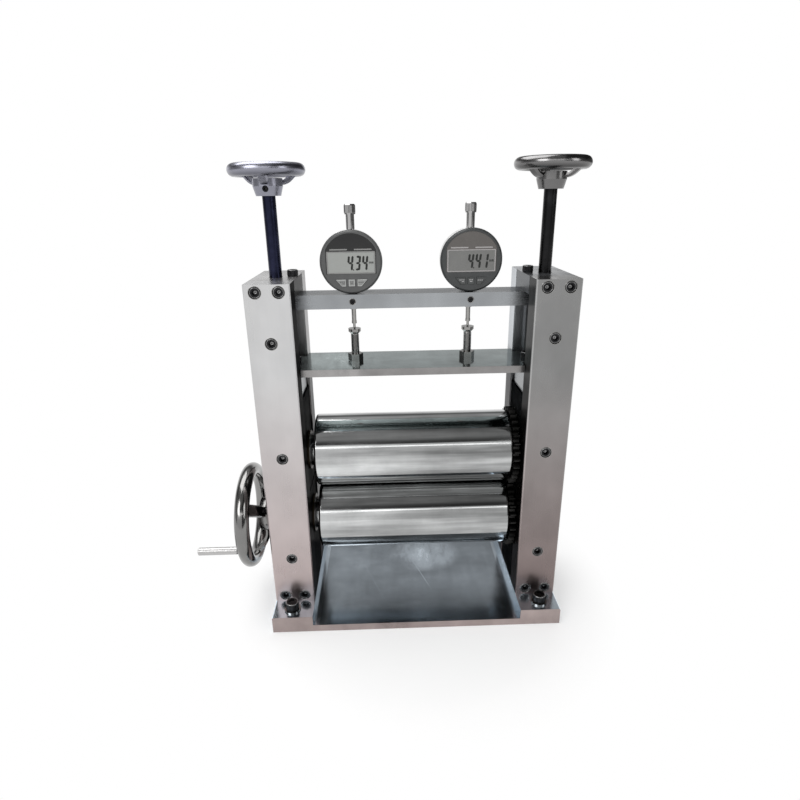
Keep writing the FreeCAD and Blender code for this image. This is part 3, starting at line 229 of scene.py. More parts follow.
def add_world():
    """The camera sees white. Metal and glass see bands of sky between dark flags, and all else gets an even
    light."""
    world = bpy.data.worlds.new("studio")
    scene.world = world
    world.use_nodes = True
    n = Nodes(world.node_tree)
    x, y, z = n.split(n.add("ShaderNodeTexCoord").outputs["Generated"])
    bands = n.mix(n.spread(y, -SKY_SEAM, SKY_SEAM, 0, 1), n.ramp(z, FRONT_SKY), n.ramp(z, REAR_SKY))
    bands = n.times(bands, n.ramp(n.spread(x, -1, 1, 0, 1), FLAGS))
    camera, direct = n.direct_rays()
    seen = n.white_light("ShaderNodeBackground", n.maths("MAXIMUM", bands, camera))
    unseen = n.white_light("ShaderNodeBackground", AMBIENT)
    n.output("ShaderNodeOutputWorld", n.merged("ShaderNodeMixShader", direct, unseen, seen))


def add_floor():
    """A pale floor that reads white where nothing shades it, and melts into the background further off."""
    mesh = bpy.data.meshes.new("studio_floor")
    corners = [(x * FLOOR_HALF, y * FLOOR_HALF, 0) for x, y in ((-1, -1), (1, -1), (1, 1), (-1, 1))]
    mesh.from_pydata(corners, [], [(0, 1, 2, 3)])
    floor = bpy.data.objects.new("studio_floor", mesh)
    scene.collection.objects.link(floor)
    floor.location.z = -FLOOR_DROP
    material = bpy.data.materials.new("studio_floor")
    material.use_nodes = True
    n = Nodes(material.node_tree)
    direct = n.direct_rays()[1]
    pale = n.set(n.add("ShaderNodeBsdfDiffuse"), Color=grey(FLOOR_GREY)).outputs[0]
    glow = n.white_light("ShaderNodeEmission", n.times(direct, FLOOR_GLOW))
    near = n.merged("ShaderNodeAddShader", pale, glow)
    white = n.white_light("ShaderNodeEmission", n.spread(direct, 0, 1, AMBIENT, 1))
    distance = n.add("ShaderNodeVectorMath", operation="LENGTH")
    n.link(n.add("ShaderNodeTexCoord").outputs["Object"], distance.inputs[0])
    far = n.spread(distance.outputs["Value"], FLOOR_NEAR, FLOOR_FAR, 0, 1)
    n.output("ShaderNodeOutputMaterial", n.merged("ShaderNodeMixShader", far, near, white))
    mesh.materials.append(material)


def add_lamp(name, place, width, height, watts):
    data = bpy.data.lights.new(name, "AREA")
    data.shape = "RECTANGLE"
    data.size = width
    data.size_y = height
    data.energy = watts
    lamp = bpy.data.objects.new(name, data)
    scene.collection.objects.link(lamp)
    lamp.location = place
    lamp.rotation_mode = "QUATERNION"
    lamp.rotation_quaternion = (Vector(LAMP_AIM) - Vector(place)).to_track_quat("-Z", "Y")


add_world()
add_floor()
for lamp_row in LAMPS:
    add_lamp(*lamp_row)

# ---------------------------------------------------------------- kinds of material

MIDST = (0.3, 0.7)                # most of a noise's values lie between these
METAL, IOR = 1.0, 1.5
BRIGHTEST = 0.93                  # a wiped plate's level before its tint
EDGE_HALF = 0.0001                # half of the step from a plate's face to its edge

# Places on the mill, in metres: a change starts at the first and is done at the second.
FOOT_HEIGHTS = (0.02, 0.27)       # the painted warm reflection at the columns' feet fades upwards
SHADED_FACE_X = (0.1076, 0.1078)         # from the middle to the columns' faces that look at the rolls, which carry painted shade
HIGHLIGHT_START, HIGHLIGHT_END = (0.1078, 0.1080), (0.1086, 0.1092)   # of the strip beside those faces, a painted highlight
ABOVE_ROLLS = (0.250, 0.272)      # from beside the rolls to above them
RAISED_X = (0.1005, 0.1015)       # from the channel of the base to its raised feet

# Painted shade at the columns' feet: what is left of the level there, and how far its height wanders.
FOOT_SHADE_SHARE, FOOT_SHADE_WANDER = 0.66, 0.12

# Grains of the noises, in cycles per metre along x, y and z, and depths of the bumps in metres.
GROUND_CLOUD, DARK_CLOUD = (16, 16, 11), (60, 60, 60)
REFLECTION_BAND, WAVE = (5, 62, 62), (9, 9, 9)
PLATE_CLOUD, WIPE, SWEEP = (13, 17, 13), (75, 10, 40), (12, 90, 40)
FINE_LINES, FLAKES = (90, 700, 90), (70, 26, 40)
GROUND_DEPTH, POLISH_DEPTH, WAVE_DEPTH, WIPED_DEPTH, TOOTH_DEPTH = 0.00004, 0.00002, 0.0008, 0.00003, 0.00004


def surface(name, base, metallic, roughness, graze=1.0):
    """A material with its shader, ready for detail. graze is what a metal keeps of its sheen when it is
    seen along its face; the chocks' and the gears' low graze is painted shade."""
    material = bpy.data.materials.new(name)
    material.use_nodes = True
    n = Nodes(material.node_tree)
    shader = n.add("ShaderNodeBsdfPrincipled")
    n.set(shader, Base_Color=base, Metallic=metallic, Roughness=roughness, IOR=IOR)
    if graze < 1:
        n.set(shader, Specular_Tint=grey(graze))
    n.output("ShaderNodeOutputMaterial", shader.outputs[0])
    place = n.add("ShaderNodeTexCoord").outputs["Object"]
    return material, n, shader, place


def bump(n, shader, height, strength, distance):
    made = n.add("ShaderNodeBump")
    n.set(made, Strength=strength, Distance=distance, Height=height)
    n.link(made.outputs["Normal"], shader.inputs["Normal"])


def glossed(n, shader, roughness, *changes):
    """Roughness with changes over the surface."""
    n.link(n.maths("ADD", n.plus(*changes), roughness, clamp=True), shader.inputs["Roughness"])


def coloured(n, shader, light, tint):
    """Base colour from a light level and a tint."""
    colour = n.add("ShaderNodeCombineColor")
    for channel, part in zip(("Red", "Green", "Blue"), tint):
        n.link(n.maths("MULTIPLY", light, part, clamp=True), colour.inputs[channel])
    n.link(colour.outputs[0], shader.inputs["Base Color"])


def ground_metal(name, level, tint, roughness, grain, blotch=0.14, seed=0.0, lines=0.10, relief=0.35,
                 foot_shade_heights=None, foot=None, inside=None, edge=None, graze=1.0):
    """Ground or brushed metal: fine lines along one way and cloudy patches. foot_shade_heights is a pair of
    heights between which the metal darkens downwards as painted shade, and foot is its tint down there, a
    painted warm reflection of the floor.
    inside is painted shade on the faces of a column that look at the rolls: the share of the level beside the
    rolls, the share above them, and what is left of the sheen. edge brightens the strip beside those faces, a
    painted highlight."""
    material, n, shader, place = surface(name, grey(level, tint), METAL, roughness, graze)
    x, _, z = n.split(place)
    fine = n.noise(place, grain, detail=3.0, roughness=0.65)
    coarse = n.noise(place, tuple(cycles * 0.22 for cycles in grain), detail=2.0, roughness=0.6)
    cloud = n.noise(place, GROUND_CLOUD, detail=3.0, roughness=0.6, turn=(seed, seed, seed))
    lined = n.plus(n.times(fine, 0.6), n.times(coarse, 0.4))
    shade = n.times(n.spread(lined, *MIDST, 1 - lines, 1 + lines),
                    n.spread(cloud, 0.32, 0.68, 1 - blotch, 1 + blotch * 0.6))
    # Painted shade: the level drops towards the columns' feet, at a height that wanders.
    if foot_shade_heights:
        wander = n.times(n.maths("SUBTRACT", cloud, 0.5), FOOT_SHADE_WANDER)
        shade = n.times(shade, n.spread(n.plus(z, wander), *foot_shade_heights, FOOT_SHADE_SHARE, 1.0))
    # Painted shade on the faces that look at the rolls: their level and sheen drop, and change again above
    # the rolls.
    if inside:
        shaded_face = n.spread(n.size(x), *SHADED_FACE_X, 1.0, 0.0)
        share = n.spread(z, *ABOVE_ROLLS, inside[0], inside[1])
        shade = n.times(shade, n.plus(n.times(n.maths("SUBTRACT", share, 1.0), shaded_face), 1.0))
        n.link(n.mix(shaded_face, WHITE, grey(inside[2])), shader.inputs["Specular Tint"])
    # Painted highlight: a brighter strip along the edge beside those faces.
    if edge:
        strip = n.times(n.spread(n.size(x), *HIGHLIGHT_START, 0, 1), n.spread(n.size(x), *HIGHLIGHT_END, 1, 0))
        shade = n.times(shade, n.spread(strip, 0, 1, 1.0, edge))
    # Painted reflection: a warm tint at the foot, as of a reddish floor.
    if foot:
        tint = n.blend(z, *FOOT_HEIGHTS, foot, tint)
    coloured(n, shader, n.times(shade, level), tint)
    glossed(n, shader, roughness, n.spread(cloud, *MIDST, -0.07, 0.07), n.spread(lined, *MIDST, -0.05, 0.05))
    bump(n, shader, lined, relief, GROUND_DEPTH)
    return material


def mirror_metal(name, level, tint, roughness, lines, wander=0.0, smudge=0.05, haze=0.10, cloud_size=28,
                 reflection_bands=0.0, underside_shade=1.0):
    """Polished plating: faint polish lines, smudges and, where asked, a slightly wavy reflection and long
    lighter and darker bands, a painted reflection. underside_shade is what painted shade leaves of the level
    on faces that look down."""
    material, n, shader, place = surface(name, grey(level, tint), METAL, roughness)
    fine = n.noise(place, lines, detail=2.0, roughness=0.6)
    cloud = n.noise(place, (cloud_size,) * 3, detail=4.0, roughness=0.62)
    wide = n.noise(place, (cloud_size * 0.45,) * 3, detail=2.0, roughness=0.5, turn=(0.4, 0.9, 0.2))
    # Painted reflection: long lighter and darker streaks along the axis.
    band = n.noise(place, REFLECTION_BAND, detail=3.0, roughness=0.55)
    glossed(n, shader, roughness, n.spread(cloud, 0.42, 0.72, 0.0, smudge),
            n.spread(fine, 0.35, 0.75, 0.0, 0.015))
    shade = n.times(n.spread(cloud, 0.35, 0.75, 1.0, 1 - haze), n.spread(wide, 0.35, 0.65, 1.0, 1 - haze),
                    n.spread(fine, *MIDST, 1.0, 0.985),
                    n.spread(band, 0.35, 0.65, 1 + reflection_bands * 0.5, 1 - reflection_bands))
    # Painted shade: faces that look down are darker.
    if underside_shade < 1:
        facing = n.split(n.add("ShaderNodeTexCoord").outputs["Normal"])[2]
        shade = n.times(shade, n.spread(facing, -0.70, 0.05, underside_shade, 1.0))
    coloured(n, shader, n.times(shade, level), tint)
    if wander:
        slow = n.noise(place, WAVE, detail=1.0)
        bump(n, shader, n.plus(n.times(fine, 0.012), n.times(slow, wander)), 0.10, WAVE_DEPTH)
    else:
        bump(n, shader, fine, 0.10, POLISH_DEPTH)
    return material


def scratch(n, place, start, end, width):
    """1 along a straight scratch between two points of x and y, 0 elsewhere."""
    reach = Vector((end[0] - start[0], end[1] - start[1], 0))
    shifted = n.add("ShaderNodeVectorMath", operation="SUBTRACT")
    n.link(place, shifted.inputs[0])
    shifted.inputs[1].default_value = (start[0], start[1], 0)
    lengths = []
    for axis in (reach.normalized(), Vector((-reach.y, reach.x, 0)).normalized()):
        made = n.add("ShaderNodeVectorMath", operation="DOT_PRODUCT")
        n.link(shifted.outputs[0], made.inputs[0])
        made.inputs[1].default_value = axis
        lengths.append(made.outputs["Value"])
    along, off = lengths
    thin = n.spread(n.size(off), width * 0.35, width, 1, 0)
    start_tail = n.spread(along, 0, reach.length * 0.2, 0, 1)
    end_tail = n.spread(along, reach.length * 0.7, reach.length, 1, 0)
    return n.times(thin, n.times(start_tail, end_tail))


def far_from(n, x, y, spot):
    """Distance from a spot's middle, where 1 is its rim. A spot starts with its middle and its reach, each in
    x and y."""
    parts = [n.times(n.maths("SUBTRACT", value, middle), 1 / reach)
             for value, middle, reach in zip((x, y), spot[:2], spot[2:4])]
    return n.maths("SQRT", n.plus(*(n.times(part, part) for part in parts)))


def swirled_metal(name, level, tint, roughness, front, front_reflection_share, front_reflection_tint, patch=None, marks=(),
                  cloudy=0.18, darker_spot=None, feet=1.0):
    """A flat plate wiped and polished by hand: soft clouds, wiping streaks and a few long scratches. The
    edges at the planes y = front and -front have their own tint and share of the level, a painted reflection.
    patch is a bright worn spot with its weight, and darker_spot a spot that darkens the level, with the share
    of the level that it leaves. feet is how many times the level of the channel the two raised feet beside it
    have."""
    material, n, shader, place = surface(name, grey(level, tint), METAL, roughness)
    x, y, _ = n.split(place)
    cloud = n.noise(place, PLATE_CLOUD, detail=4.0, roughness=0.6)
    wipe = n.noise(place, WIPE, detail=3.0, roughness=0.6, turn=(0, 0, 0.5))
    sweep = n.noise(place, SWEEP, detail=3.0, roughness=0.6, turn=(0, 0, -0.35))
    fine = n.noise(place, FINE_LINES, detail=2.0)
    shade = n.plus(n.spread(cloud, *MIDST, 1 - cloudy, 1 + cloudy * 0.85),
                   n.spread(wipe, *MIDST, -0.07, 0.07), n.spread(sweep, 0.35, 0.75, -0.03, 0.06))
    if patch:
        flakes = n.noise(place, FLAKES, detail=4.0, roughness=0.62, turn=(0, 0, 0.9))
        worn = n.times(n.spread(far_from(n, x, y, patch), 0.15, 1.0, 1.0, 0.0),
                       n.spread(flakes, 0.36, 0.66, 0.15, 1.0))
        shade = n.plus(shade, n.times(worn, patch[4]))
        n.link(n.spread(worn, 0.3, 1.0, METAL, 0.45), shader.inputs["Metallic"])
    for start, end, width, weight in marks:
        shade = n.plus(shade, n.times(scratch(n, place, start, end, width), weight))
    # The front edges' own share of the level and tint are a painted reflection.
    edge = n.spread(n.size(y), -front - EDGE_HALF, -front + EDGE_HALF, 0.0, 1.0)
    # The level darkens about a spot, here towards the channel's front.
    if darker_spot:
        far = n.maths("MAXIMUM", far_from(n, x, y, darker_spot), edge)
        shade = n.times(shade, n.spread(far, 0.55, 1.0, darker_spot[4], 1.0))
    if feet > 1:
        on_foot = n.maths("SUBTRACT", n.spread(n.size(x), *RAISED_X, 0, 1), edge, clamp=True)
        shade = n.times(shade, n.spread(on_foot, 0, 1, 1.0, feet))
    shade = n.times(shade, n.spread(edge, 0, 1, 1.0, front_reflection_share))
    light = n.maths("MINIMUM", n.times(shade, level), BRIGHTEST)
    coloured(n, shader, light, n.blend(edge, 0, 1, tint, front_reflection_tint))
    glossed(n, shader, roughness, n.spread(cloud, *MIDST, -0.04, 0.08), n.spread(edge, 0, 1, 0.0, 0.12))
    bump(n, shader, fine, 0.14, WIPED_DEPTH)
    return material


def dark_finish(name, level, tint, roughness, metallic=0.0, worn=0.03, pebble=2600, graze=1.0):
    """Black oxide, dark plastic or paint: an even skin with a fine tooth and slightly rubbed patches."""
    material, n, shader, place = surface(name, grey(level, tint), metallic, roughness, graze)
    tooth = n.noise(place, (pebble, pebble, pebble), detail=2.0)
    cloud = n.noise(place, DARK_CLOUD, detail=3.0, roughness=0.6)
    rubbed = n.spread(cloud, 0.5, 0.8, 0.0, 1.0)
    n.link(n.mix(rubbed, grey(level, tint), grey(level + worn, tint)), shader.inputs["Base Color"])
    n.link(n.spread(cloud, *MIDST, roughness - 0.06, roughness + 0.08), shader.inputs["Roughness"])
    bump(n, shader, tooth, 0.25, TOOTH_DEPTH)
    return material


# ---------------------------------------------------------------- the mill's materials

# Each call starts with a name, a level from 0 to 1, a tint and a roughness. Ground and mirror metal go on
# with the cycles per metre of their lines along x, y and z, and wiped plates with the front edge: its y, its
# share of the level and its tint.
COLD, STEEL, NEUTRAL = (0.96, 1.0, 1.04), (1.0, 0.99, 0.985), (1.0, 1.0, 1.0)
PLASTIC = (1.0, 1.02, 1.0)
# Tints of the painted warm reflection at the columns' feet.
LEFT_FOOT_REFLECTION, RIGHT_FOOT_REFLECTION = (1.14, 0.945, 0.925), (1.19, 0.94, 0.905)
UPRIGHT, FRONT_TO_REAR = (420, 420, 9), (420, 9, 420)
TURNED, CAST = (300, 300, 900), (160, 160, 160)
BAR = dict(lines=0.022, relief=0.08, foot_shade_heights=(0.02, 0.33))
OXIDE = dict(metallic=METAL)

# The front bars and top blocks are one steel: the left copies' higher level and the right copies' lower one
# are painted light and shade.
left_steel = ground_metal("ground_steel_left", 0.64, (0.995, 0.995, 1.0), 0.30, UPRIGHT, blotch=0.10,
                          inside=(0.08, 0.14, 0.16), foot=LEFT_FOOT_REFLECTION, **BAR)
right_steel = ground_metal("ground_steel_right", 0.30, (0.995, 0.995, 0.99), 0.28, UPRIGHT, seed=0.5,
                           blotch=0.16, inside=(0.22, 0.55, 0.40), foot=RIGHT_FOOT_REFLECTION, edge=1.7, **BAR)
left_rear_steel = ground_metal("ground_steel_left_rear", 0.50, STEEL, 0.32, UPRIGHT, seed=0.8,
                               inside=(0.06, 1.25, 0.65), foot=LEFT_FOOT_REFLECTION, **BAR)
right_rear_steel = ground_metal("ground_steel_right_rear", 0.46, COLD, 0.30, UPRIGHT, seed=1.8,
                                inside=(0.14, 1.6, 0.70), foot=RIGHT_FOOT_REFLECTION, **BAR)
left_block_steel = ground_metal("ground_block_left", 0.56, STEEL, 0.30, FRONT_TO_REAR, seed=0.3,
                                lines=0.04, inside=(0.30, 0.30, 0.35))
right_block_steel = ground_metal("ground_block_right", 0.34, COLD, 0.30, FRONT_TO_REAR, seed=1.1,
                                 lines=0.04, inside=(0.70, 0.70, 0.60))
rail_steel = ground_metal("guide_rail_steel", 0.20, COLD, 0.34, (9, 500, 500), seed=0.7,
                          inside=(0.22, 2.2, 0.60))
# Painted shade: the chocks between the columns are near black, with little sheen.
chock_steel = dark_finish("shade_dark_chock_steel", 0.035, COLD, 0.40, worn=0.02, pebble=1400, graze=0.16,
                          **OXIDE)
thrust_steel = ground_metal("thrust_block_steel", 0.26, COLD, 0.30, (9, 400, 400), seed=2.7)
bar_steel = ground_metal("ground_bar_steel", 0.38, COLD, 0.26, (9, 420, 420), seed=1.3, blotch=0.22,
                         lines=0.05, relief=0.2, graze=0.60)
plate_steel = swirled_metal("polished_plate_steel", 0.44, (0.86, 0.99, 0.99), 0.10, -0.0318, 0.60,
                            (1.02, 0.99, 0.98), patch=(-0.075, 0.0, 0.06, 0.05, 0.90), cloudy=0.34)
# The base's warm, darker front edge is a painted reflection of reddish surroundings.
base_steel = swirled_metal("polished_base_steel", 0.60, (0.875, 0.975, 1.07), 0.17, -0.0763, 0.56,
                           (1.15, 0.96, 0.925), patch=(0.016, 0.040, 0.044, 0.036, 1.85), cloudy=0.26,
                           darker_spot=(0.015, -0.085, 0.125, 0.080, 0.55), feet=1.6,
                           marks=(((-0.010, 0.058), (0.021, -0.032), 0.0007, 0.50),
                                  ((0.010, 0.046), (0.024, 0.006), 0.0005, 0.30),
                                  ((-0.060, 0.030), (-0.030, -0.050), 0.0004, 0.16)))
roll_chrome = mirror_metal("roll_chrome", 0.64, (0.985, 1.0, 1.0), 0.04, (420, 8, 8), smudge=0.13, haze=0.24,
                           cloud_size=22, reflection_bands=0.52)
# The two adjusting wheels are one chrome: the left copy's lighter, bluer level and the right copy's darker
# one are painted reflection.
left_wheel_chrome = mirror_metal("wheel_chrome_left", 0.44, (0.95, 0.96, 1.12), 0.25, CAST, wander=0.25,
                                 haze=0.12, underside_shade=0.45)
right_wheel_chrome = mirror_metal("wheel_chrome_right", 0.25, (1.0, 0.985, 0.985), 0.20, CAST, wander=0.25,
                                  haze=0.14, underside_shade=0.35)
drive_chrome = mirror_metal("wheel_chrome_drive", 0.28, (1.0, 0.99, 0.97), 0.12, CAST, wander=0.25, haze=0.14)
rod_steel = ground_metal("turned_rod_steel", 0.50, STEEL, 0.30, (26, 500, 500), seed=0.4, blotch=0.08)
bright_steel = ground_metal("turned_bright_steel", 0.30, (1.0, 0.985, 0.96), 0.16, TURNED, seed=0.9)
spindle_steel = ground_metal("gauge_spindle_steel", 0.34, (1.0, 0.985, 0.95), 0.12, TURNED, seed=0.1)
# Painted shade: the gears inside the columns are near black.
gear_steel = ground_metal("cut_gear_steel", 0.042, (1.0, 0.98, 0.95), 0.36, (900, 200, 200), seed=2.1,
                          graze=0.5)
# Painted shade: the bushes inside the columns are darkened.
bronze = ground_metal("bush_bronze", 0.050, (1.0, 0.78, 0.52), 0.38, (500, 500, 500), seed=1.9, lines=0.06)
black_oxide = dark_finish("black_oxide", 0.026, (1, 1, 1.05), 0.30, pebble=1800, **OXIDE)
# Painted highlight grey for the rims and socket points of the black screw heads, and the plain grey of the
# gauges' back screws.
glint_grey = dark_finish("rubbed_edge_steel", 0.26, NEUTRAL, 0.24, worn=0.10, pebble=900, **OXIDE)
screw_black = dark_finish("lead_screw_black", 0.018, (1, 1, 1.04), 0.24, worn=0.012, pebble=1200, **OXIDE)
screw_blue = dark_finish("lead_screw_blued", 0.024, (0.80, 0.88, 1.75), 0.24, worn=0.016, pebble=1200,
                         **OXIDE)
dial_left = dark_finish("dial_face_left", 0.105, (0.98, 1.0, 1.0), 0.34)
dial_right = dark_finish("dial_face_right", 0.055, (0.94, 1.0, 1.02), 0.30, worn=0.02)
window_left = dark_finish("window_left", 0.008, (1.0, 1.0, 1.06), 0.10, worn=0.01)
window_right = dark_finish("window_right", 0.120, (1.08, 1.0, 0.94), 0.14, worn=0.02)
gauge_metal = ground_metal("gauge_case_metal", 0.60, STEEL, 0.18, TURNED, seed=0.2, blotch=0.06)
cap_metal = mirror_metal("gauge_cap_chrome", 0.56, STEEL, 0.08, (90, 90, 20), smudge=0.03, haze=0.04)
stem_metal = mirror_metal("gauge_stem_chrome", 0.36, STEEL, 0.10, (500, 500, 60))
button_grey = dark_finish("button_grey", 0.56, PLASTIC, 0.38, worn=0.05)
button_field = dark_finish("button_field_grey", 0.30, PLASTIC, 0.38, worn=0.04)
button_dark = dark_finish("button_dark", 0.075, (0.95, 1.0, 1.0), 0.36, worn=0.02)
print_pale = dark_finish("button_print_pale", 0.52, NEUTRAL, 0.45, worn=0.06)
print_dark = dark_finish("button_print_dark", 0.10, NEUTRAL, 0.45, worn=0.02)
lcd_left = dark_finish("display_left", 0.42, (0.97, 1.0, 0.96), 0.16)
lcd_right = dark_finish("display_right", 0.205, (1.0, 1.0, 0.97), 0.16)
frame_left = dark_finish("display_edge_left", 0.30, (1.0, 1.0, 0.98), 0.28)
frame_right = dark_finish("display_edge_right", 0.42, (1.04, 1.0, 1.0), 0.28)
digit_dark = dark_finish("display_digits", 0.006, (0.85, 1.15, 0.85), 0.45, worn=0.004)

SHADES = {
    "ground_steel": left_steel, "polished_steel": bright_steel, "roll_chrome": roll_chrome,
    "wheel_chrome": drive_chrome, "chock_steel": chock_steel, "gear_steel": gear_steel, "bronze": bronze,
    "black_oxide_steel": black_oxide, "bright_steel": bright_steel, "gauge_metal": gauge_metal,
    "gauge_face": dial_left, "gauge_window": window_left, "gauge_button": button_grey, "gauge_cap": cap_metal,
}
OWN_SHADES = {
    "base_plate": base_steel, "gauge_plate": plate_steel, "gauge_crossbar": bar_steel,
    "crank_handle": rod_steel, "guide_rails": rail_steel,
    "left_thrust_block": thrust_steel, "right_thrust_block": thrust_steel,
    "left_lead_screw": screw_blue, "right_lead_screw": screw_black,
    "left_adjusting_wheel": left_wheel_chrome, "right_adjusting_wheel": right_wheel_chrome,
    "left_gauge_spindle": spindle_steel, "right_gauge_spindle": spindle_steel,
    "left_gauge_stem": stem_metal, "right_gauge_stem": stem_metal,
    "right_gauge_face": dial_right, "right_gauge_window": window_right,
    "right_gauge_left_button": button_dark, "right_gauge_middle_button": button_dark,
    "right_gauge_right_button": button_dark,
    "right_front_column_bar": right_steel, "right_top_block": right_block_steel,
    "left_top_block": left_block_steel,
    "left_rear_column_bar": left_rear_steel, "right_rear_column_bar": right_rear_steel,
}


def dress_nodes():
    """Each CAD node gets its slot's material, or one of its own."""
    slots = {row["node"]: row["material_slot"] for row in frame["record"]["subparts"]}
    for name, thing in nodes.items():
        material = OWN_SHADES.get(name) or SHADES[slots[name]]
        for slot in thing.material_slots:
            slot.material = material


dress_nodes()

# ---------------------------------------------------------------- shapes of small parts, in millimetres

UP, FORWARD, BACK = (0, 0, 1), (0, -1, 0), (0, 1, 0)
SIDES = ((-1, "left"), (1, "right"))


def piece(name, corners, faces, body, material, slot, smooth=False):
    """A new piece from points in millimetres, riding on a body."""
    mesh = bpy.data.meshes.new(name)
    mesh.from_pydata([Vector(c) * MM for c in corners], [], faces)
    made = bpy.data.objects.new(name, mesh)
    scene.collection.objects.link(made)
    mesh.materials.append(material)
    tidy = bmesh.new()
    tidy.from_mesh(mesh)
    bmesh.ops.recalc_face_normals(tidy, faces=tidy.faces)
    tidy.to_mesh(mesh)
    tidy.free()
    if smooth:
        mesh.shade_smooth()
    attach(made, body)


def plate_rows(outline, front, rear):
    """Corners and faces of an upright plate whose outline is given in x and z."""
    count = len(outline)
    corners = [(x, front, z) for x, z in outline] + [(x, rear, z) for x, z in outline]
    faces = [tuple(range(count)), tuple(range(2 * count - 1, count - 1, -1))]
    faces += [(k, (k + 1) % count, count + (k + 1) % count, count + k) for k in range(count)]
    return corners, faces


def joined(groups):
    """Several sets of corners and faces as one."""
    corners, faces = [], []
    for some_corners, some_faces in groups:
        base = len(corners)
        corners += some_corners
        faces += [tuple(base + k for k in face) for face in some_faces]
    return corners, faces


def rounded(x_low, x_high, z_low, z_high, radius, steps=4):
    """A rectangle with round corners, as pairs of x and z."""
    points = []
    for x, z, start in ((x_high, z_high, 0), (x_low, z_high, 90), (x_low, z_low, 180), (x_high, z_low, 270)):
        x_middle = x - radius if start in (0, 270) else x + radius
        z_middle = z - radius if start in (0, 90) else z + radius
        for k in range(steps + 1):
            angle = math.radians(start + 90 * k / steps)
            points.append((x_middle + radius * math.cos(angle), z_middle + radius * math.sin(angle)))
    return points


def scaled(profile, share):
    return [(radius * share, height * share) for radius, height in profile]


def axes_about(axis):
    """An axis of length 1 and two directions square to it and to each other."""
    axis = Vector(axis).normalized()
    side = axis.orthogonal().normalized()
    return axis, side, axis.cross(side)


def spun(profile, centre, axis, steps=40):
    """Corners and faces of a closed ring: pairs of radius and height along the axis, turned about it."""
    axis, side, other = axes_about(axis)
    centre, count = Vector(centre), len(profile)
    corners, faces = [], []
    for k in range(steps):
        angle = math.tau * k / steps
        out = side * math.cos(angle) + other * math.sin(angle)
        corners += [centre + out * radius + axis * height for radius, height in profile]
        m = (k + 1) % steps
        faces += [(k * count + j, m * count + j, m * count + (j + 1) % count, k * count + (j + 1) % count)
                  for j in range(count)]
    return corners, faces


KNURL_CHAMFER, KNURL_ROOT = 0.25, 0.01   # height of the sloped ends, and how far the grooves stand out


def knurled(centre, axis, radius, low, high, ridges, rise=0.14):
    """A sleeve of straight knurling: a star-shaped prism with closed ends."""
    axis, side, other = axes_about(axis)
    count = 2 * ridges
    corners = []
    for height, more in ((low, 0.0), (low + KNURL_CHAMFER, rise), (high - KNURL_CHAMFER, rise), (high, 0.0)):
        for k in range(count):
            angle = math.pi * k / ridges
            reach = radius + (more if k % 2 else KNURL_ROOT)
            out = side * math.cos(angle) + other * math.sin(angle)
            corners.append(Vector(centre) + out * reach + axis * height)
    faces = [tuple(range(count)), tuple(range(4 * count - 1, 3 * count - 1, -1))]
    for level in range(3):
        base = level * count
        faces += [(base + k, base + (k + 1) % count, base + count + (k + 1) % count, base + count + k)
                  for k in range(count)]
    return corners, faces


THREAD_ROOT = 0.1                                    # how deep the thread starts inside its shank
THREAD_SHARES = (0.0, 0.06, 0.42, 0.58, 0.94, 1.0)   # heights of its section's corners, in pitches


def threaded(centre, radius, low, high, pitch, rise, steps=28):
    """An upright helical thread whose ends run out into the shank."""
    corners, faces = [], []
    total, count = int((high - low) / pitch) * steps, len(THREAD_SHARES)
    root = radius - THREAD_ROOT
    for k in range(total + 1):
        angle = math.tau * k / steps
        height = low + pitch * k / steps
        crest = radius + rise * min(1.0, 2.0 * k / steps, 2.0 * (total - k) / steps)
        for reach, share in zip((root, radius, crest, crest, radius, root), THREAD_SHARES):
            corners.append((centre[0] + reach * math.cos(angle), centre[1] + reach * math.sin(angle),
                            height + share * pitch))
    for k in range(total):
        here, following = count * k, count * (k + 1)
        faces += [(here + j, following + j, following + (j + 1) % count, here + (j + 1) % count)
                  for j in range(count)]
    faces += [tuple(range(count)), tuple(range(count * (total + 1) - 1, count * total - 1, -1))]
    return corners, faces


# ---------------------------------------------------------------- displays

GAUGE_X, GAUGE_Y, DIAL_HEIGHT = 56.2, 5.0, 365.0
PANE_FRONT, SUNK = -8.30, 0.05       # y of the pane's face, and how deep the plates on it stand in it
EDGE_RISE, PANEL_RISE, STRIP_RISE = 0.14, 0.08, 0.10
DIGIT_RISE, DIGIT_BASE = 0.16, 0.07
# Half width, reach below and above the dial's middle, and corner radius.
EDGE_OUTSIDE, EDGE_INSIDE, PANEL = (22.6, 10.4, 9.9, 0.9), (21.6, 9.5, 9.0, 0.6), (21.5, 9.4, 8.9, 0.5)
STRIPS, STRIP_LOW, STRIP_HIGH, STRIP_CORNER = ((-19.5, -3.2), (3.2, 19.5)), 11.0, 12.2, 0.4
SEGMENTS = {"1": "bc", "3": "abgcd", "4": "fgbc"}   # lit strokes: a on top, then clockwise, g in the middle
DIGIT_HEIGHT, DIGIT_WIDTH, STROKE, STROKE_GAP, SLANT = 13.4, 5.4, 1.95, 0.12, 0.10
DIGIT_STARTS, DIGIT_DROP = (-4.0, 2.9, 9.6), 7.4
POINT_OFFSET, POINT_HALF, POINT_HEIGHT, POINT_CORNER = 0.75, 0.55, 1.1, 0.2
# Plain bars in the place of the unit's two letters: from and to in x, from and to in height.
UNIT_GAP, UNIT_STEP, UNIT_CORNER = 1.6, 2.35, 0.1
UNIT_BARS = ((0.0, 0.4, 6.0, 7.7), (0.75, 1.15, 6.0, 7.7), (1.5, 1.9, 6.0, 7.7), (0.0, 1.9, 7.3, 7.8))


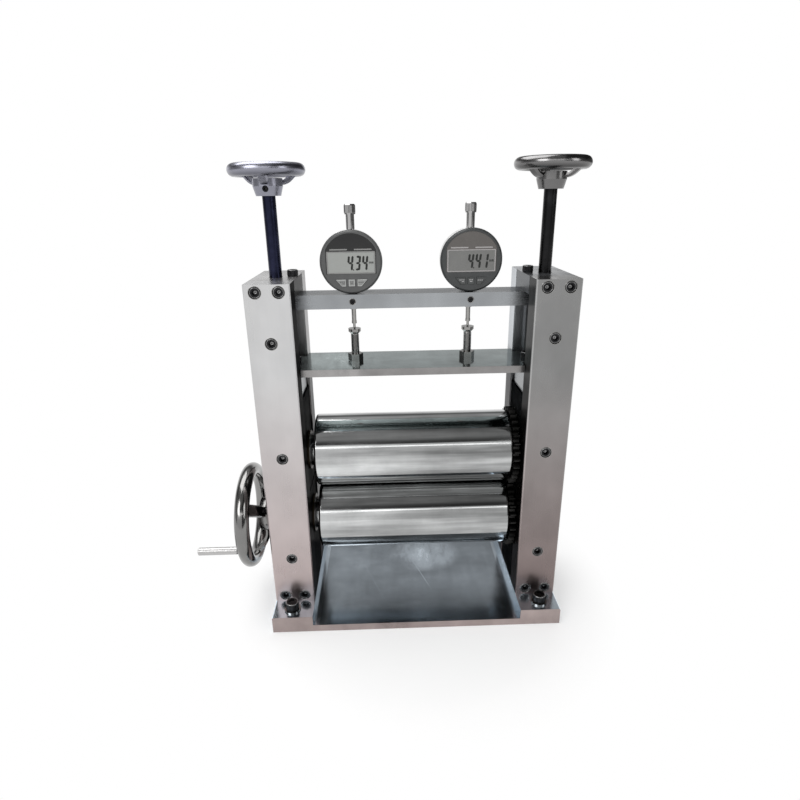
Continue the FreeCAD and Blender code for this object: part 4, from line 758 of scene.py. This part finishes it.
def stroke_shapes(digit):
    """Outlines of a seven segment digit's strokes about its lower left corner."""
    half, middle = STROKE / 2, DIGIT_HEIGHT / 2
    level = {"a": DIGIT_HEIGHT - half, "g": middle, "d": half}
    upright = {"b": (DIGIT_WIDTH - half, middle, DIGIT_HEIGHT), "c": (DIGIT_WIDTH - half, 0, middle),
               "f": (half, middle, DIGIT_HEIGHT)}
    shapes = []
    for part in SEGMENTS[digit]:
        if part in level:
            z, low, high = level[part], half + STROKE_GAP, DIGIT_WIDTH - half - STROKE_GAP
            shapes.append([(low, z), (low + half, z - half), (high - half, z - half), (high, z),
                           (high - half, z + half), (low + half, z + half)])
        else:
            x, low, high = upright[part]
            low, high = low + STROKE_GAP, high - STROKE_GAP
            shapes.append([(x, low), (x + half, low + half), (x + half, high - half), (x, high),
                           (x - half, high - half), (x - half, low + half)])
    return shapes


def on_pane(outline, rise, base=-SUNK):
    """A plate on the display pane. rise and base are how far its face and its rear stand out of the pane."""
    return plate_rows(outline, PANE_FRONT - rise, PANE_FRONT - base)


def display(name, middle, digits, panel, edge):
    """The lit panel, its edge, the strip above it and the digits of one gauge."""
    outside, inside, face = (
        rounded(middle - half, middle + half, DIAL_HEIGHT - down, DIAL_HEIGHT + up, corner)
        for half, down, up, corner in (EDGE_OUTSIDE, EDGE_INSIDE, PANEL))
    count = len(outside)
    corners = [(x, y, z) for ring in (outside, inside) for y in (PANE_FRONT - EDGE_RISE, PANE_FRONT + SUNK)
               for x, z in ring]
    faces = []
    for k in range(count):
        m = (k + 1) % count
        faces.append((k, m, 2 * count + m, 2 * count + k))
        faces.append((count + k, count + m, m, k))
        faces.append((2 * count + k, 2 * count + m, 3 * count + m, 3 * count + k))
        faces.append((3 * count + k, 3 * count + m, count + m, count + k))
    piece(name + "_display_edge", corners, faces, "frame", edge, "gauge_metal")
    piece(name + "_display_panel", *on_pane(face, PANEL_RISE), "frame", panel, "gauge_window")
    strips = [on_pane(rounded(middle + low, middle + high, DIAL_HEIGHT + STRIP_LOW, DIAL_HEIGHT + STRIP_HIGH,
                              STRIP_CORNER), STRIP_RISE) for low, high in STRIPS]
    piece(name + "_display_strip", *joined(strips), "frame", edge, "gauge_metal")

    foot = DIAL_HEIGHT - DIGIT_DROP
    starts = [middle + start for start in DIGIT_STARTS]
    outlines = [[(start + x + SLANT * z, foot + z) for x, z in shape]
                for digit, start in zip(digits, starts) for shape in stroke_shapes(digit)]
    point = starts[1] - POINT_OFFSET
    outlines.append(rounded(point - POINT_HALF, point + POINT_HALF, foot, foot + POINT_HEIGHT, POINT_CORNER))
    unit = starts[2] + DIGIT_WIDTH + UNIT_GAP
    outlines += [rounded(start + left, start + right, foot + low, foot + high, UNIT_CORNER, 2)
                 for start in (unit, unit + UNIT_STEP) for left, right, low, high in UNIT_BARS]
    plates = [on_pane(outline, DIGIT_RISE, DIGIT_BASE) for outline in outlines]
    piece(name + "_display_digits", *joined(plates), "frame", digit_dark, "gauge_window")


display("left", -GAUGE_X, "434", lcd_left, frame_left)
display("right", GAUGE_X, "441", lcd_right, frame_right)

# ---------------------------------------------------------------- screws

# Profiles are pairs of radius and height along the axis, about the middle of the face that the screw shows.
HEAD_RIM = ((4.15, 0.015), (4.50, 0.030), (5.03, -0.46), (4.90, -0.55), (4.15, -0.10))
BORE_LIP = ((5.40, -0.55), (5.43, 0.02), (5.58, 0.045), (5.86, 0.035), (5.88, -0.05))
SOCKET_POINT = ((0.05, 0.05), (1.55, 0.30), (1.95, 0.04), (1.95, -0.05), (0.05, -0.05))
GRUB = ((0.05, -2.6), (1.15, -2.4), (1.30, -0.35), (1.55, 0.0), (2.35, 0.0), (2.68, -0.35), (2.68, -4.0),
        (0.05, -4.0))
CLAMP_LIP = ((2.66, -0.5), (2.70, 0.02), (3.0, 0.05), (3.3, 0.03), (3.3, -0.05))
HEAD_SUNK, SOCKET_DEPTH = 0.3, 3.27

# Places are pairs: the middle of the face that a screw or a hole shows, and the way it looks.
COLUMN_X, BAR_FRONT = 128.25, 50.0
PAIR_X, PAIR_HEIGHTS, SINGLE_HEIGHTS = 10.3, (345.0, 24.8), (70.5, 184.8, 299.1)
BAR_SPOTS = [(x, z) for z in PAIR_HEIGHTS for x in (-PAIR_X, PAIR_X)] + [(0, z) for z in SINGLE_HEIGHTS]
SCREWS = [((side * COLUMN_X + x, face * BAR_FRONT, z), (0, face, 0))
          for side in (-1, 1) for face in (-1, 1) for x, z in BAR_SPOTS]
FOOT_BOLTS = [((x, y, 27.6), UP) for x in (-129.5, 129.5) for y in (-63.25, 63.25)]
END_SCREWS = [((x, GAUGE_Y, 358.0), UP) for x in (-113.0, 113.0)]
PLATE_SCREWS = [((side * x, 0.0, 273.5), UP) for side in (-1, 1) for x in (114.75, 141.75)]
CLAMPS = [((side * GAUGE_X, -10.0, 328.75), FORWARD) for side in (-1, 1)]
# Heads that stand free: name, places, size against a column screw, body, and the knurl's radius, foot and top
# below the face, and number of ridges.
STANDING = (
    ("foot_bolt", FOOT_BOLTS, 1.3, "frame", (6.5, -7.6, -0.9, 44)),
    ("end_screw", END_SCREWS, 1.0, "frame", (5.0, -5.6, -0.7, 36)),
    ("plate_screw", PLATE_SCREWS, 0.85, "carriage", (4.25, -4.6, -0.7, 32)),
)


def rings(profile, spots, depth=0.0, steps=40):
    """One ring at each spot, sunk by a depth along its axis."""
    return joined([spun(profile, Vector(spot) - Vector(axis) * depth, axis, steps) for spot, axis in spots])


piece("counterbore_edges", *rings(BORE_LIP, SCREWS), "frame", bright_steel, "bright_steel", True)
# The lighter rims on the heads' edges and the points in their sockets are painted highlights.
piece("column_screw_rims", *rings(HEAD_RIM, SCREWS, HEAD_SUNK), "frame", glint_grey, "black_oxide_steel",
      True)
piece("column_socket_points", *rings(SOCKET_POINT, SCREWS, SOCKET_DEPTH, 20), "frame", glint_grey,
      "black_oxide_steel", True)
# The rims on these heads are painted highlights too.
for name, spots, share, body, knurl in STANDING:
    piece(name + "_rims", *rings(scaled(HEAD_RIM, share), spots), body, glint_grey, "black_oxide_steel",
          True)
    piece(name + "_knurls", *joined([knurled(spot, axis, *knurl) for spot, axis in spots]), body, black_oxide,
          "black_oxide_steel")

LEFT_GRUB_SPOT, RIGHT_GRUB_SPOT = (-COLUMN_X, -10.3, 429.9), (COLUMN_X, 10.3, 432.4)
DRIVE_TILT, DRIVE_HUB, DRIVE_GRUB_SHARE = math.radians(35), 15.0, 1.09
DRIVE_AXIS = (0, -math.cos(DRIVE_TILT), math.sin(DRIVE_TILT))
DRIVE_SPOT = (-157.6, -DRIVE_HUB * math.cos(DRIVE_TILT), 95.5 + DRIVE_HUB * math.sin(DRIVE_TILT))
for name, profile, spot, axis, body in (
        ("left_wheel", GRUB, LEFT_GRUB_SPOT, FORWARD, "left_screw"),
        ("right_wheel", GRUB, RIGHT_GRUB_SPOT, BACK, "right_screw"),
        ("drive_wheel", scaled(GRUB, DRIVE_GRUB_SHARE), DRIVE_SPOT, DRIVE_AXIS, "lower_roll_set")):
    piece(name + "_grub_screw", *spun(profile, spot, axis), body, black_oxide, "black_oxide_steel")

# ---------------------------------------------------------------- gauge details

ANVIL_THREAD = (3.75, 274.9, 294.4, 1.0, 0.28)   # radius, foot, top, pitch and rise
CAP_KNURL = (5.2, 408.3, 415.1, 34, 0.16)        # radius, foot, top, ridges and rise
BACK_COVER = ((0.05, -0.1), (0.05, 0.55), (23.7, 0.55), (24.2, 0.1), (24.2, -0.1))
BATTERY_LID = ((7.6, 0.5), (7.6, 1.05), (8.3, 1.15), (8.8, 0.95), (9.0, 0.5))
COVER_SCREW = ((0.35, 0.02), (0.7, 0.30), (1.3, 0.36), (1.75, 0.18), (1.8, -0.05), (0.35, -0.05))
CASE_BACK, COVER_FACE, COIN_SLOT_FACE = 14.0, 14.5, 14.62
COIN_SLOT, COIN_TURN = (-6.2, 6.2, -0.9, 0.9, 0.85), math.radians(20)
COVER_SCREW_REACH, COVER_SCREW_ANGLES = 20.2, (45, 135, 225, 315)
BEZEL = ((28.9, -6.6), (29.16, -6.75), (29.30, -6.45), (29.30, -0.45), (29.16, -0.15), (28.9, -0.3))

piece("clamp_hole_edges", *rings(CLAMP_LIP, CLAMPS), "frame", bright_steel, "bright_steel", True)
piece("anvil_threads", *joined([threaded((side * GAUGE_X, GAUGE_Y), *ANVIL_THREAD) for side in (-1, 1)]),
      "carriage", bright_steel, "bright_steel")
piece("gauge_cap_knurls",
      *joined([knurled((side * GAUGE_X, GAUGE_Y, 0), UP, *CAP_KNURL) for side in (-1, 1)]),
      "frame", cap_metal, "gauge_cap")


def gauge_back(side):
    """The cover on the rear of a gauge with its battery lid, and its four screws with the lid's coin slot."""
    middle = (side * GAUGE_X, CASE_BACK, DIAL_HEIGHT)
    cover = spun(BACK_COVER, middle, BACK, 64)
    lid = spun(BATTERY_LID, middle, BACK, 48)
    cosine, sine = math.cos(COIN_TURN), math.sin(COIN_TURN)
    slot = [(middle[0] + x * cosine - z * sine, middle[2] + x * sine + z * cosine)
            for x, z in rounded(*COIN_SLOT)]
    fixings = []
    for angle in (math.radians(degrees) for degrees in COVER_SCREW_ANGLES):
        spot = (middle[0] + COVER_SCREW_REACH * math.cos(angle), COVER_FACE,
                middle[2] + COVER_SCREW_REACH * math.sin(angle))
        fixings.append(spun(COVER_SCREW, spot, BACK, 20))
    fixings.append(plate_rows(slot, COVER_FACE, COIN_SLOT_FACE))
    return joined([cover, lid]), joined(fixings)


for side, name in SIDES:
    cover, fixings = gauge_back(side)
    piece(name + "_gauge_back_cover", *cover, "frame", dial_left, "gauge_face")
    piece(name + "_gauge_back_screws", *fixings, "frame", glint_grey, "bright_steel")
for side, name in SIDES:
    piece(name + "_gauge_bezel", *spun(BEZEL, (side * GAUGE_X, 0, DIAL_HEIGHT), BACK, 128), "frame",
          gauge_metal, "gauge_metal")

# ---------------------------------------------------------------- buttons

# Plain bars on each button: from and to in x, and height above the button's middle.
MARKS = {
    "left": ((-2.4, -0.9, 0.9), (-0.5, 0.7, 0.9), (1.1, 2.5, 0.9), (-0.2, 2.3, -0.7)),
    "middle": ((-1.7, -0.2, 0.9), (0.2, 1.7, 0.9), (-1.2, 1.2, -0.7)),
    "right": ((-2.5, -1.0, 0.5), (-0.6, 0.8, 0.5), (1.2, 2.4, 0.5)),
}
FIELD_INSET, FIELD_RISE, FIELD_SUNK = 1.5, 0.06, 0.03
MARK_RISE, MARK_BASE, MARK_HALF, MARK_CORNER = 0.09, 0.03, 0.32, 0.15
NEAR_FRONT = 0.01                    # corners this close to the foremost one belong to the button's face


def extent(values):
    return max(values) - min(values)


def button_marks(side, place, base, mark):
    """A raised field inside a button's edge, with short plain bars where a real one has its marks."""
    node = side + "_gauge_" + place + "_button"
    corners = [corner.co / MM for corner in nodes[node].data.vertices]
    front = min(corner.y for corner in corners)
    spots = [corner for corner in corners if corner.y < front + NEAR_FRONT]
    middle = sum(spots, Vector()) / len(spots)
    spots.sort(key=lambda corner: math.atan2(corner.z - middle.z, corner.x - middle.x))
    x_share = 1 - FIELD_INSET / extent([corner.x for corner in spots])
    z_share = 1 - FIELD_INSET / extent([corner.z for corner in spots])
    field = [(middle.x + (corner.x - middle.x) * x_share, middle.z + (corner.z - middle.z) * z_share)
             for corner in spots]
    bars = [rounded(middle.x + low, middle.x + high, middle.z + lift - MARK_HALF, middle.z + lift + MARK_HALF,
                    MARK_CORNER, 2) for low, high, lift in MARKS[place]]
    body = node + "_body"
    piece(node + "_field", *plate_rows(field, front - FIELD_RISE, front + FIELD_SUNK), body, base,
          "gauge_button")
    piece(node + "_marks", *joined([plate_rows(bar, front - MARK_RISE, front - MARK_BASE) for bar in bars]),
          body, mark, "gauge_button")


for place in MARKS:
    button_marks("left", place, button_field, print_dark)
    button_marks("right", place, button_dark, print_pale)
